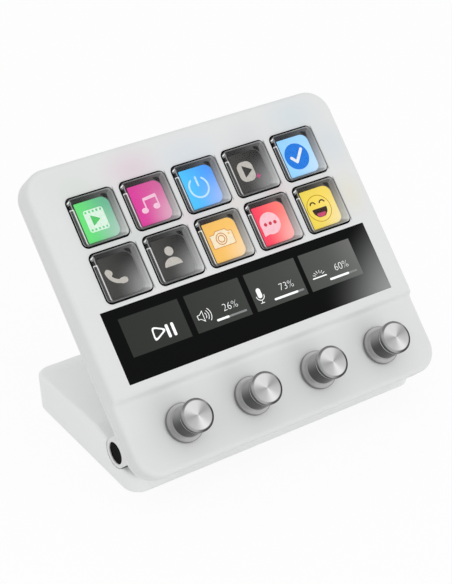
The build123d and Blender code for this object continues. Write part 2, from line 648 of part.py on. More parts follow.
def cradle(side):
    """The space of one knuckle in the base: round below the hinge axis, open upwards above it."""
    profile = Circle(CRADLE_RADIUS) + Pos(0, CRADLE_RADIUS) * Rectangle(2 * CRADLE_RADIUS, 2 * CRADLE_RADIUS)
    middle = side * (BARREL_END + BASE_WIDTH) / 2
    return Pos(middle, HINGE_Y, HINGE_HEIGHT) * across(profile, (BASE_WIDTH - BARREL_END) / 2)


def base_shell():
    """Hollow moulded wedge with a cradle for each knuckle and the hinge barrel between them."""
    outside = across(base_profile(), BASE_WIDTH / 2) & base_walls()
    outside = fillet(border(facing_up(outside)), BASE_EDGE_ROUND)
    outside = fillet(outside.faces().sort_by(Axis.Z)[0].edges(), BASE_FOOT_ROUND)
    shell = outside + bar(BARREL_RADIUS, -BARREL_END, BARREL_END, HINGE_Y, HINGE_HEIGHT)
    shell -= base_room()
    for x, y in BASE_POST_PLACES:
        shell += disc(BASE_POST_RADIUS, PLATE_TOP, BASE_CREST_HEIGHT, x, y) & outside
        shell -= disc(SCREW_RADIUS + SCREW_FIT, PLATE_TOP, PLATE_TOP + SCREW_LENGTH, x, y)
    shell -= base_block(BASE_RIM, BASE_LIFT, PLATE_TOP)
    for side in (-1, 1):
        shell -= cradle(side)
        bore_end = side * (BARREL_END - PIN_IN_BARREL)
        shell -= bar(PIN_RADIUS, bore_end, side * BARREL_END, HINGE_Y, HINGE_HEIGHT)
    return shell


def base_plate():
    """Bottom cover, sunk in the shell's rim, with a shallow seat for the mat."""
    plate = base_block(BASE_RIM + PLATE_CLEARANCE, BASE_LIFT, PLATE_TOP)
    plate -= mat_block(0)
    for x, y in BASE_POST_PLACES:
        plate -= screw_hole(MAT_THICKNESS, PLATE_TOP, x, y)
    return plate


def mat_block(clearance):
    """The mat on the desk, drawn in by a clearance on every side."""
    inset = 2 * (BASE_RIM + MAT_MARGIN + clearance)
    return block(BASE_WIDTH - inset, BASE_DEPTH - inset, MAT_CORNER - clearance, 0, MAT_THICKNESS)


def base_ballast():
    """Steel plate lying on the bottom cover between the posts."""
    front = CAVITY_FRONT + BALLAST_CLEARANCE
    back = REAR - BASE_WALL - BALLAST_CLEARANCE
    width = 2 * (BASE_POST_X - BASE_POST_RADIUS - BALLAST_FROM_POSTS)
    top = PLATE_TOP + BALLAST_THICKNESS
    return block(width, back - front, BALLAST_CORNER, PLATE_TOP, top, 0, (front + back) / 2)


# ---- hinge -----------------------------------------------------------------------------------
def hinge_pin(side):
    """Steel pin, pressed in the middle barrel and turning in one knuckle."""
    inner = side * (BARREL_END - PIN_IN_BARREL)
    outer = side * (KNUCKLE_INNER + PIN_IN_KNUCKLE)
    return bar(PIN_RADIUS, inner, outer, HINGE_Y, HINGE_HEIGHT)


def hinge_washer(side):
    """Thin friction washer on the pin, between the barrel and a knuckle."""
    start = BARREL_END + (HINGE_GAP - WASHER_THICKNESS) / 2
    end = start + WASHER_THICKNESS
    ring = bar(WASHER_RADIUS, side * start, side * end, HINGE_Y, HINGE_HEIGHT)
    return ring - bar(PIN_RADIUS + WASHER_BORE_CLEARANCE, side * start, side * end, HINGE_Y, HINGE_HEIGHT)


def hinge_plug(side):
    """Black cap in the outer end of a knuckle."""
    outer = KNUCKLE_OUTER - PLUG_RECESS
    return bar(PLUG_RADIUS, side * (outer - PLUG_DEPTH), side * outer)


# ---- the nodes -------------------------------------------------------------------------------
os.makedirs("parts", exist_ok=True)

save("base_shell", base_shell())
save("base_plate", base_plate())
save("base_ballast", base_ballast())
save("base_mat", mat_block(PLATE_CLEARANCE))
save("base_screws", *[screw(MAT_THICKNESS, SCREW_LENGTH, x, y) for x, y in BASE_POST_PLACES])
save("hinge_pins", hinge_pin(-1), hinge_pin(1))
save("hinge_washers", hinge_washer(-1), hinge_washer(1))

save_head("front_bezel", front_bezel())
save_head("rear_cover", rear_cover())
save_head("hinge_plugs", hinge_plug(-1), hinge_plug(1))
save_head("head_screws", *[screw(BACK, SCREW_LENGTH, x, y) for x, y in POST_PLACES])
save_head("strip_glass", strip_glass())
save_head("strip_display", strip_display())
save_head("key_display", key_display())
save_head("key_frame", key_frame())
save_head("key_gasket", key_gasket())
save_head("chassis", chassis())
save_head("main_board", main_board())
save_head("board_parts", *board_parts())
save_head("edge_leds", *edge_leds())
save_head("usb_socket", usb_socket())
save_head("usb_tongue", usb_tongue())
save_head("encoder_bodies", *[Pos(x, y) * encoder_body() for x, y in KNOB_PLACES])

for number, (x, y) in enumerate(KEY_PLACES, start=1):
    save_head(f"key_cap_{number}", key_cap(x, y))

for number, (x, y) in enumerate(KNOB_PLACES, start=1):
    save_head(f"encoder_rotor_{number}", Pos(x, y) * encoder_rotor())
    save_head(f"encoder_shaft_{number}", Pos(x, y) * encoder_shaft())
    save_head(f"knob_{number}", Pos(x, y) * knob())
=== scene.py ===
# %% [markdown]
# # A desk keypad with ten display keys, a touch strip and four turned knobs
# The solids of the keypad are already packed: every housing, key cap, knob and hinge part is a fixed
# node in one frame. This lesson dresses them. It gives every node a finish made of shader nodes, and
# adds what a solid modeller leaves out: the dark wells inside the clear key caps, the lit pictures
# under them, the tiles on the touch strip, a floor, lamps and a camera.

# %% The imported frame
import json
import math

import bmesh
import bpy
import numpy as np
from mathutils import Euler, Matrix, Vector

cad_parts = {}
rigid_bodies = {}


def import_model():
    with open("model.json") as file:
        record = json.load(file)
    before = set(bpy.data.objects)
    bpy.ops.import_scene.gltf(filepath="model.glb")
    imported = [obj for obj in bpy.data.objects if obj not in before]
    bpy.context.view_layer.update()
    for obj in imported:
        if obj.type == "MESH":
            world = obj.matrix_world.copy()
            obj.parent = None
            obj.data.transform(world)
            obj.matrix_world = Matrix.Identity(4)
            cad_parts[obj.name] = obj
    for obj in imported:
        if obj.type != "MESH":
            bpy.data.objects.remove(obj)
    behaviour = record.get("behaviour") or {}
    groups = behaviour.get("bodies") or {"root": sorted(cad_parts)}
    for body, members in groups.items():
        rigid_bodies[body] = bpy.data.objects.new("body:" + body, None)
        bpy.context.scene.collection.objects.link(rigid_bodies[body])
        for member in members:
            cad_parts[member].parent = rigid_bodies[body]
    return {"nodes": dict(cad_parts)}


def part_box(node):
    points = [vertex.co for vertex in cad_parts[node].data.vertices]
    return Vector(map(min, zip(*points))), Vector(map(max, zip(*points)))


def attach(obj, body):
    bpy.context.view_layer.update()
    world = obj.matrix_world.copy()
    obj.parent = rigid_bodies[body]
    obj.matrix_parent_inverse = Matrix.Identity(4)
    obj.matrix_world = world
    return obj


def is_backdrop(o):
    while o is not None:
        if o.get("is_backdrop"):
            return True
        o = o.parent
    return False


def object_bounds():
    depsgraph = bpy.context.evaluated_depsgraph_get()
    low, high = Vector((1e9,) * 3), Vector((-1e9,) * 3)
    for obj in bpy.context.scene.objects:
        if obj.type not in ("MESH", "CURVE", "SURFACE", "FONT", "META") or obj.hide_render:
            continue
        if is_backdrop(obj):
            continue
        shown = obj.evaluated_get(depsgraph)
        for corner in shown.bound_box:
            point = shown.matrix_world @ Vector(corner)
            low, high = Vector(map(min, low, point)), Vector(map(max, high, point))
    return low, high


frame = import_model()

for stray in [o for o in bpy.data.objects if o.name in ("Cube", "Light", "Camera")]:
    bpy.data.objects.remove(stray)
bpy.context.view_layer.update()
nodes = frame["nodes"]

# %% [markdown]
# ## The panel's own axes
# Nearly everything that is added lies on the tilted panel. Typing tilted coordinates by hand invites
# mistakes, so the pieces are drawn in the panel's own millimetres: across, up the panel, and out of its
# face. Their zero lies in the middle, 15 mm up from the panel's lower edge and 17.9 mm behind its face.
# One small matrix product then turns them into the shared frame.

# %% Panel axes
TILT = math.radians(44.5)
ZERO = np.array([0.0, -26.084, 14.938])
ACROSS = np.array([1.0, 0.0, 0.0])
UP = np.array([0.0, math.cos(TILT), math.sin(TILT)])
OUT = np.array([0.0, -math.sin(TILT), math.cos(TILT)])
FACE = 17.9  # the key zone's face, out from the zero
STRIP_FACE = FACE - 0.05
KEY_PITCH = 22.8
TOP_ROW, LOW_ROW = 81.235, 59.165


def on_panel(points):
    """Row frame metres of panel millimetres: the zero, plus across, up and out times their axes."""
    axes = np.stack([ACROSS, UP, OUT])
    return (ZERO + np.asarray(points, float) @ axes) / 1000


low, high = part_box("key_cap_1")
middle = (np.array(low) + np.array(high)) / 2 * 1000 - ZERO
KEYS = {k + 1: (KEY_PITCH * (k % 5 - 2), (TOP_ROW, LOW_ROW)[k // 5]) for k in range(10)}
print("key 1 by its node:", round(middle @ ACROSS, 2), round(middle @ UP, 2), "by its place:", KEYS[1])

# %% [markdown]
# ## Meshes from arrays
# A shape here is a grid of points: rows run along a profile, columns run around it. The faces of such a
# grid are the same four neighbours everywhere, so their numbers can be worked out as whole arrays too,
# without a loop over vertices. Poles, where a whole row meets in one point, are merged afterwards.


# %% Grid to mesh
SAME_POINT = 2e-6  # metres: points nearer than this become one


def finished(name, mesh, finish, body):
    """Puts a mesh in the scene at the origin, with its finish, on the body that carries it."""
    piece = bpy.data.objects.new(name, mesh)
    bpy.context.scene.collection.objects.link(piece)
    mesh.materials.append(finish)
    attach(piece, body)


def sewn(mesh):
    """Merges the points that lie on each other and turns every face outwards."""
    work = bmesh.new()
    work.from_mesh(mesh)
    bmesh.ops.remove_doubles(work, verts=work.verts, dist=SAME_POINT)
    bmesh.ops.recalc_face_normals(work, faces=work.faces)
    work.to_mesh(mesh)
    work.free()
    return mesh


def grid_mesh(name, grid, flat, share=None):
    """Vertex (row, column) is grid[row, column]; columns close on themselves. flat gives each vertex its
    place on the piece for the UV map, share how far along the profile it lies."""
    rows, columns = grid.shape[:2]
    number = np.arange(rows * columns).reshape(rows, columns)
    number = np.hstack([number, number[:, :1]])
    here, after = number[:, :-1], number[:, 1:]
    quads = np.stack([here[:-1], after[:-1], after[1:], here[1:]], -1).reshape(-1, 4)
    mesh = bpy.data.meshes.new(name)
    mesh.vertices.add(rows * columns)
    mesh.loops.add(quads.size)
    mesh.polygons.add(len(quads))
    mesh.vertices.foreach_set("co", on_panel(grid.reshape(-1, 3)).ravel())
    mesh.loops.foreach_set("vertex_index", quads.ravel())
    mesh.polygons.foreach_set("loop_start", np.arange(0, quads.size, 4))
    mesh.polygons.foreach_set("use_smooth", np.full(len(quads), True))
    mesh.update(calc_edges=True)
    place = mesh.uv_layers.new(name="place")
    place.data.foreach_set("uv", flat.reshape(-1, 2)[quads.ravel()].ravel())
    if share is not None:
        mesh.attributes.new("share", "FLOAT", "POINT").data.foreach_set("value", share.ravel())
    return sewn(mesh)


print("points merge within", SAME_POINT * 1e6, "micrometres")

# %% [markdown]
# ## Shader maths written as Python
# A finish is a chain of small sums: how far is this point from the knob's axis, how much haze lies here.
# Written as nodes by hand they fill pages. A small class wraps a socket and overloads the operators, so
# `1 - mask` adds the Math node by itself. Colours go through Mix, because Math would turn them grey.


# %% Signals
class Signal:
    """One output socket; an expression on signals adds the Math nodes that work it out."""

    def __init__(self, finish, socket):
        self.finish = finish
        self.socket = socket

    def math(self, operation, *others):
        """A Math node on this signal and others or numbers."""
        return self.finish.add("ShaderNodeMath", {"operation": operation}, [self, *others])

    def __add__(self, other):
        return self.math("ADD", other)

    def __radd__(self, other):
        return self.math("ADD", other)

    def __sub__(self, other):
        return self.math("SUBTRACT", other)

    def __rsub__(self, other):
        return self.finish.add("ShaderNodeMath", {"operation": "SUBTRACT"}, [other, self])

    def __mul__(self, other):
        return self.math("MULTIPLY", other)

    def __rmul__(self, other):
        return self.math("MULTIPLY", other)

    def __truediv__(self, other):
        return self.math("DIVIDE", other)

    def __abs__(self):
        return self.math("ABSOLUTE")

    def ramp(self, start, end):
        """A smooth step: 0 at start, 1 at end, whichever of the two is larger."""
        low_end, high_end = min(start, end), max(start, end)
        step = self.finish.add(
            "ShaderNodeMapRange", {"interpolation_type": "SMOOTHSTEP"}, [self, low_end, high_end]
        )
        return step if start < end else 1 - step

    def band(self, low_start, low_end, high_end, high_start):
        """1 between the two inner values, and a smooth step down to 0 at the outer ones."""
        return self.ramp(low_start, low_end) * self.ramp(high_start, high_end)


print("signals add, subtract, multiply, divide, ramp and band")


# %% Finishes
REACH = 9.3  # millimetres that one unit of a key's UV map stands for


class Finish:
    """A material under construction: add() makes any node, surface() closes it with a Principled BSDF."""

    def __init__(self, name):
        self.material = bpy.data.materials.new(name)
        self.material.use_nodes = True
        self.tree = self.material.node_tree
        self.tree.nodes.clear()
        self.end = self.tree.nodes.new("ShaderNodeOutputMaterial")

    def add(self, kind, settings=None, inputs=(), output=0):
        """Any node: its settings first, then the values or links of its sockets."""
        node = self.tree.nodes.new(kind)
        for setting, value in (settings or {}).items():
            setattr(node, setting, value)
        pairs = inputs.items() if isinstance(inputs, dict) else enumerate(inputs)
        for key, value in pairs:
            self.feed(node.inputs[key], value)
        return Signal(self, node.outputs[output])

    def feed(self, socket, value):
        """Links a signal to the socket, or sets a plain value on it."""
        if isinstance(value, Signal):
            self.tree.links.new(value.socket, socket)
        else:
            socket.default_value = value

    def mix(self, share, first, second):
        """A colour between two colours."""
        ends = [end if isinstance(end, Signal) else (*end, 1.0) for end in (first, second)]
        return self.add("ShaderNodeMix", {"data_type": "RGBA"}, {0: share, 6: ends[0], 7: ends[1]}, 2)

    def tone(self, grey):
        """A grey colour whose brightness is a signal."""
        return self.add("ShaderNodeCombineColor", {}, [grey, grey, grey])

    def place(self):
        """The point on the object, in metres."""
        return self.add("ShaderNodeTexCoord", {}, (), "Object")

    def along(self, axis, start=0.0):
        """How far the point lies along an axis from a start on it, in millimetres."""
        dot = {"operation": "DOT_PRODUCT"}
        reach = self.add("ShaderNodeVectorMath", dot, [self.place(), tuple(np.asarray(axis) * 1000)], 1)
        return reach - float(start)

    def panel(self):
        """Across, up and out on the panel, in millimetres."""
        return [self.along(axis, ZERO @ axis) for axis in (ACROSS, UP, OUT)]

    def on_key(self):
        """The point on the key from its UV map: as it is, and across and up in millimetres."""
        place = self.add("ShaderNodeUVMap", {"uv_map": "place"})
        parts = self.add("ShaderNodeSeparateXYZ", {}, [place]).socket.node.outputs
        return place, Signal(self, parts[0]) * REACH, Signal(self, parts[1]) * REACH

    def point(self, x, y, z=0.0):
        """A place put together from three signals or numbers."""
        return self.add("ShaderNodeCombineXYZ", {}, [x, y, z])

    def noise(self, place, scale, detail, roughness):
        """Smooth noise around a half, at a number of swings per unit of the place."""
        inputs = {"Vector": place, "Scale": scale, "Detail": detail, "Roughness": roughness}
        return self.add("ShaderNodeTexNoise", {}, inputs, "Fac")

    def bump(self, height, distance, strength):
        """A normal tilted by a height, whose full swing is the distance in metres."""
        inputs = {"Strength": strength, "Distance": distance, "Height": height}
        return self.add("ShaderNodeBump", {}, inputs, "Normal")

    def surface(self, colour, roughness, **more):
        """Closes the finish. The keywords are the shader's other sockets, with _ for a space."""
        inputs = {"Base Color": colour, "Roughness": roughness}
        inputs.update({key.replace("_", " "): value for key, value in more.items()})
        shader = self.add("ShaderNodeBsdfPrincipled", {}, inputs)
        self.feed(self.end.inputs["Surface"], shader)
        return self.material


print("finishes take signals for their colour, roughness, normal and light")


# %% Screen colours
def shade(red, green, blue):
    """The linear colour of a screen colour from 0 to 255: the screen's curve, undone."""
    screen = np.array([red, green, blue]) / 255
    return tuple(np.where(screen <= 0.04045, screen / 12.92, ((screen + 0.055) / 1.055) ** 2.4).tolist())


print("a screen grey of 224 is", round(shade(224, 224, 224)[0], 3), "in linear light")

# %% [markdown]
# ## White moulded plastic
# The housings are injection moulded in white, with a fine satin texture that hides flow lines. It is
# pale enough that its texture shows more in the gloss than in the colour, so a fine noise drives the
# bump and the roughness, and the colour only drifts by a percent or two. Small lamps under the rim and
# the lit keys throw faint colours through the front housing, and shade falls around the knobs and
# between the keys: these are painted glow and painted shade, each a soft patch in panel millimetres,
# which holds still on the panel when it tilts. A painted highlight lifts the shaded step in the face,
# and painted shade darkens the thin gap right of each key, which holds still as well.


# %% White plastic
GAP_NEAR, GAP_FAR = 10.0, 10.75  # the painted shade in the gap right of a key, from the key's middle
GAP_LENGTH = 9.9  # how far it reaches up and down
FIRST_KEY_EDGE = -45.0  # left of it there is no key whose gap could show


def key_gap_shade(across, up):
    """1 in the thin gap at each key's right side, where its shade is painted: the way across is wrapped to
    one key, the way up is folded to one row, and ramps cut the band out."""
    key_x = ((across / KEY_PITCH + 0.5).math("FRACT") - 0.5) * KEY_PITCH
    key_y = abs(abs(up - (TOP_ROW + LOW_ROW) / 2) - (TOP_ROW - LOW_ROW) / 2)
    beside_key = key_x.band(GAP_NEAR, GAP_NEAR + 0.1, GAP_FAR - 0.55, GAP_FAR)
    in_rows = across.ramp(FIRST_KEY_EDGE, FIRST_KEY_EDGE + 1) * key_y.ramp(GAP_LENGTH, GAP_LENGTH - 1.3)
    return beside_key * in_rows


def satin(name, white, patches=()):
    """Fine moulding texture from noise at two scales. The patches are soft ellipses of painted glow and
    painted shade in another colour; with them comes the painted shade in the gaps beside the keys."""
    finish = Finish(name)
    place = finish.place()
    grain = finish.noise(place, 2600.0, 2.0, 0.6)
    cloud = finish.noise(place, 28.0, 3.0, 0.5)
    dull = [part * 0.982 for part in white]
    colour = finish.mix(cloud.ramp(0.3, 0.7), white, dull)
    if patches:
        across, up, _ = finish.panel()
        for middle_x, middle_y, reach_x, reach_y, strength, tint in patches:
            flat = (across - middle_x) / reach_x
            tall = (up - middle_y) / reach_y
            away = (flat * flat + tall * tall).math("SQRT")
            colour = finish.mix(away.ramp(1.0, 0.0) * strength, colour, shade(*tint))
        # painted shade in the thin gap right of each key
        colour = finish.mix(key_gap_shade(across, up) * 0.75, colour, shade(110, 112, 112))
    roughness = 0.44 + 0.12 * grain
    normal = finish.bump(grain, 0.00003, 0.35)
    return finish.surface(colour, roughness, Normal=normal, Specular_IOR_Level=0.28)


print("gaps lie", GAP_NEAR, "to", GAP_FAR, "mm right of each key's middle")

# %% White finishes
PAINTED_GLOW_AND_SHADE = [
    # middle across and up, reach across and up, strength, colour
    # painted shade over the lower zone, around the knobs
    (0, -3, 100, 19, 0.9, (212, 213, 213)),
    # a painted highlight over the shaded step in the face
    (0, 14.5, 95, 2.6, 0.85, (230, 231, 231)),
    # painted glow of the lamps under the rim and of the lit keys, along the top and the right side
    (-50, 93, 17, 13, 0.75, (213, 219, 214)),
    (-25, 95, 17, 11, 0.95, (219, 206, 213)),
    (0, 94, 20, 11, 0.8, (212, 218, 224)),
    (27, 94, 16, 9, 0.6, (213, 214, 217)),
    (50, 96, 18, 13, 0.8, (208, 217, 221)),
    (61, 82, 10, 12, 0.8, (210, 217, 221)),
    (60, 60, 9, 12, 0.9, (222, 220, 208)),
    # painted shade and painted glow of the lit keys, between and under the rows
    (-34, 70, 8, 6, 0.7, (204, 211, 207)),
    (-11, 70, 7, 7, 0.7, (218, 208, 211)),
    (11, 70, 7, 7, 0.6, (219, 213, 209)),
    (30, 70, 10, 9, 0.9, (217, 206, 208)),
    (24, 50, 9, 6, 0.8, (219, 208, 212)),
]
white_front = satin("white_front", shade(221, 222, 222), PAINTED_GLOW_AND_SHADE)
white_housing = satin("white_housing", shade(223, 224, 224))
# the base's white is painted lighter than the housing's, a painted light that lifts the shade under the
# panel
white_base_painted_light = satin("white_base_painted_light", shade(236, 237, 237))
print("white finishes with", len(PAINTED_GLOW_AND_SHADE), "soft patches")

# %% [markdown]
# ## Black plastics, rubber and the other inner materials
# Dark mouldings are told apart by their gloss: the key collars and hinge plugs are satin, the mat's
# rubber is almost dead. A low specular level keeps them black under a white surround.


# %% Dark and inner finishes
def moulded(name, colour, rough, grain_scale=1800.0, depth=0.00003, level=0.25, speckle=0.12):
    """A plain moulding: a coarse noise drifts the colour, a fine one specks roughness and height."""
    finish = Finish(name)
    place = finish.place()
    grain = finish.noise(place, grain_scale, 2.0, 0.6)
    cloud = finish.noise(place, 120.0, 2.0, 0.5)
    dark = [part * (1 - speckle) for part in colour]
    bright = [min(part * (1 + speckle), 1.0) for part in colour]
    tone = finish.mix(cloud.ramp(0.35, 0.65), dark, bright)
    return finish.surface(
        tone, rough + 0.1 * grain, Normal=finish.bump(grain, depth, 0.4), Specular_IOR_Level=level
    )


def rubber_mat():
    """Rubber with a pattern of small round studs: the sine of each direction, multiplied."""
    finish = Finish("rubber_mat")
    x, y = finish.along((1, 0, 0)), finish.along((0, 1, 0))
    studs = ((x * 2.6).math("SINE") * (y * 2.6).math("SINE")).ramp(0.2, 0.75)
    grain = finish.noise(finish.place(), 1500.0, 3.0, 0.6)
    colour = finish.mix(studs, shade(38, 38, 39), shade(52, 52, 53))
    normal = finish.bump(studs * 0.8 + grain * 0.2, 0.0002, 0.6)
    return finish.surface(colour, 0.78 + 0.12 * grain, Normal=normal, Specular_IOR_Level=0.2)


def circuit_board():
    """Solder mask over tracks: bands that a coarse noise bends show as slightly lighter lines."""
    finish = Finish("circuit_board")
    bent = finish.noise(finish.place(), 90.0, 1.0, 0.4)
    across, up, _ = finish.panel()
    lines = (across * 3.0 + bent * 9.0).math("SINE").ramp(0.55, 0.9)
    lines = lines * (up * 0.35 + bent * 6.0).math("SINE").ramp(-0.2, 0.4)
    colour = finish.mix(lines, (0.012, 0.11, 0.05), (0.03, 0.2, 0.09))
    return finish.surface(colour, 0.35 + 0.1 * bent, Normal=finish.bump(lines, 0.00004, 0.5))


def brushed_steel():
    """Steel with fine marks along X: a noise that is stretched one way."""
    finish = Finish("brushed_steel")
    stretched = finish.point(finish.along(ACROSS) * 0.06, finish.along(UP), finish.along(OUT))
    marks = finish.noise(stretched, 9.0, 4.0, 0.7)
    colour = finish.mix(marks, (0.46, 0.47, 0.48), (0.64, 0.65, 0.66))
    normal = finish.bump(marks, 0.00002, 0.5)
    return finish.surface(colour, 0.26 + 0.2 * marks, Metallic=1.0, Normal=normal)


satin_black = moulded("satin_black", shade(11, 12, 12), 0.5, level=0.02)
bearing = moulded("bearing_plastic", shade(205, 205, 202), 0.4, grain_scale=900.0)
grey_moulding = moulded("grey_moulding", shade(138, 140, 142), 0.5, grain_scale=1200.0)
chip_resin = moulded("chip_resin", shade(44, 44, 46), 0.55, grain_scale=2200.0)
lens_grain = {"grain_scale": 700.0, "depth": 0.00001, "level": 0.5, "speckle": 0.03}
lamp_lens = moulded("lamp_lens", shade(238, 238, 230), 0.15, **lens_grain)
display_stack = moulded("display_stack", shade(36, 37, 40), 0.3, grain_scale=600.0, depth=0.00001, level=0.4)
print("inner finishes made")

# %% [markdown]
# ## The touch strip's glass
# The strip is one pane of black cover glass, flush with the face. It is nearly black, mirror smooth,
# and carries a painted reflection: a soft grey sheen towards its lower right corner, where the pane is
# hazy with light from the side. The sheen is two ramps multiplied in panel millimetres: one across, one
# slanting down.


# %% Strip glass
def cover_glass():
    """Black glass: two soft ramps meet in the lower right corner and lift the black to grey there, a painted
    reflection.
    """
    finish = Finish("cover_glass")
    across, up, _ = finish.panel()
    corner = (across * 0.8 - up * 1.25).ramp(-16.0, 34.0)
    right = across.ramp(27.0, 60.0)
    dust = finish.noise(finish.place(), 900.0, 3.0, 0.7)
    colour = finish.mix(corner * right, shade(11, 13, 12), shade(158, 159, 159))
    smear = finish.noise(finish.point(across, up * 2.2), 0.12, 2.0, 0.5)
    roughness = 0.05 + 0.05 * smear + 0.03 * dust
    return finish.surface(colour, roughness, Specular_IOR_Level=0.04)


print("cover glass ready")

# %% [markdown]
# ## Turned aluminium
# The knobs are turned on a lathe. The tool leaves rings on the flat cap, and under a broad light those
# rings gather the reflection into bright and dark fans that meet in the middle. Millions of real grooves
# would be needed to get that from the geometry, so the fans are drawn from the angle around the knob's
# axis, which holds still on the knob, and fine rings in the bump break up the gloss. The side is brushed
# round, so its marks run along the angle instead. All four knobs share one material: the distance across
# is wrapped to one pitch, which centres the pattern on each.


# %% Aluminium
KNOB_PITCH, KNOB_LINE = 30.14, 0.2  # millimetres from knob to knob, and their line up the panel
CAP_TOP, FOOT_TOP, FOOT_RADIUS = 28.9, 19.5, 7.25
CAP_EDGE = 5.6  # radius at which the cap's flat end meets its round


def turned_aluminium():
    """Fans from the cosine of twice the angle; rings from a noise along the radius alone."""
    finish = Finish("turned_aluminium")
    across, up, out = finish.panel()
    x = ((across / KNOB_PITCH).math("FRACT") - 0.5) * KNOB_PITCH
    y = up - KNOB_LINE
    radius = (x * x + y * y).math("SQRT")
    angle = y.math("ARCTAN2", x)

    # the flat end: fans of painted reflection, and painted shade along parts of its edge
    fans = 0.5 + 0.4 * (angle * 2.0 - 3.62).math("COSINE")
    fans = fans + 0.1 * (angle * 5.0 + 0.7).math("COSINE")
    rings = finish.noise(finish.point(radius * 5.5, 0.0), 1.0, 3.0, 0.7)
    end_tone = 0.34 + 0.42 * fans + 0.14 * (rings - 0.5)
    edge_low = (angle + 0.75).math("COSINE").ramp(-0.1, 0.75)
    edge_top = (angle - 1.7).math("COSINE").ramp(0.2, 0.9)
    edge_shade = (edge_low * 0.92).math("MAXIMUM", edge_top * 0.75).math("MAXIMUM", 0.25)
    end = finish.tone(end_tone * (1 - edge_shade * radius.ramp(CAP_EDGE - 0.4, CAP_EDGE)))

    # the brushed side, painted darker on one side, with painted highlights on two grooves in a dark band,
    # and the foot
    turned = finish.point(angle.math("COSINE") * 2.0, angle.math("SINE") * 2.0, out * 14.0)
    streak = finish.noise(turned, 1.0, 3.0, 0.65)
    away = (angle - 3.8).math("COSINE").ramp(0.1, 0.95)
    side_tone = (0.42 - 0.34 * away) * (0.55 + 0.9 * streak)
    dark_band = out.band(25.8, 25.95, 27.25, 27.4)
    grooves = out.band(26.15, 26.3, 26.45, 26.6) + out.band(26.75, 26.85, 27.0, 27.1)
    side_tone = side_tone * (1 - 0.8 * dark_band) + 0.7 * grooves
    foot = out.ramp(FOOT_TOP + 0.2, FOOT_TOP)
    foot_tone = 0.48 - 0.24 * radius.ramp(FOOT_RADIUS - 0.15, FOOT_RADIUS)
    side = finish.tone(side_tone * (1 - foot) + foot * foot_tone)

    on_end = out.ramp(CAP_TOP - 0.45, CAP_TOP - 0.3)
    colour = finish.mix(on_end, side, end)
    marks = on_end * rings + (1 - on_end) * streak
    normal = finish.bump(marks, 0.00004, 0.5)
    return finish.surface(colour, 0.3 + 0.12 * marks, Metallic=0.85, Normal=normal)


print("aluminium ready")

# %% [markdown]
# ## Clear key caps
# Each key is a clear cap over a lit picture. A true glass shader bends light through the thick cap and
# throws noise over the picture, so the cap is made of what the eye notices: it lets the picture through
# unchanged and adds a thin reflection that grows towards grazing angles.


# %% Clear caps
def clear_cap():
    """Transparent, with a glossy coat mixed in by Fresnel; the gloss is broken by a fine noise."""
    finish = Finish("clear_cap")
    across, up, _ = finish.panel()
    haze = finish.noise(finish.point(across, up), 0.35, 2.0, 0.5)
    grain = finish.noise(finish.place(), 700.0, 1.0, 0.5)
    normal = finish.bump(grain, 0.000005, 0.3)
    edge = finish.add("ShaderNodeFresnel", {}, {"IOR": 1.32})
    see = finish.add("ShaderNodeBsdfTransparent", {}, {"Color": (0.985, 0.99, 0.99, 1.0)})
    shine = {"Color": (1, 1, 1, 1), "Roughness": 0.06, "Normal": normal}
    gloss = finish.add("ShaderNodeBsdfGlossy", {}, shine)
    amount = edge * (0.5 + 0.3 * haze)
    both = finish.add("ShaderNodeMixShader", {}, [amount, see, gloss])
    finish.feed(finish.end.inputs["Surface"], both)
    return finish.material


print("clear cap ready")

# %% [markdown]
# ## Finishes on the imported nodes
# The nodes keep their meshes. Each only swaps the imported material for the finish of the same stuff.

# %% Dress the nodes
STUFF = {
    "white_plastic": white_housing,
    "steel": brushed_steel(),
    "rubber": rubber_mat(),
    "bearing_plastic": bearing,
    "black_plastic": satin_black,
    "black_glass": cover_glass(),
    "display": display_stack,
    "grey_plastic": grey_moulding,
    "board": circuit_board(),
    "chips": chip_resin,
    "lamps": lamp_lens,
    "clear_cap": clear_cap(),
    "aluminium": turned_aluminium(),
}
for name, node in nodes.items():
    for holder in node.material_slots:
        holder.material = STUFF[holder.material.name]
nodes["front_bezel"].material_slots[0].material = white_front
nodes["base_shell"].material_slots[0].material = white_base_painted_light
print("dressed", len(nodes), "nodes in", len(STUFF), "finishes")

# %% [markdown]
# ## The key wells
# Under each clear cap sits a dark moulded well: a rim just under the cap's top, walls that slope in, and
# a floor for the picture. The picture's window is square on the left and rounded on the right. A box
# with a hole would miss the slope, so the well is a profile carried around a loop: every ring of the
# grid is a blend between the outer rounded rectangle and the window.


# %% Rounded loops
def rounded_loop(left, right, low, high, corners, steps=9):
    """Points around a rectangle, counter-clockwise from the upper right corner: each corner is a quarter
    circle of its own radius about its own centre."""
    radius = np.array(corners, float)[:, None]
    turn = (np.arange(4)[:, None] + np.linspace(0, 1, steps)) * np.pi / 2
    centre_x = np.array([right, left, left, right])[:, None] + radius * np.array([-1, 1, 1, -1])[:, None]
    centre_y = np.array([high, high, low, low])[:, None] + radius * np.array([-1, -1, 1, 1])[:, None]
    return np.stack([centre_x + radius * np.cos(turn), centre_y + radius * np.sin(turn)], -1).reshape(-1, 2)


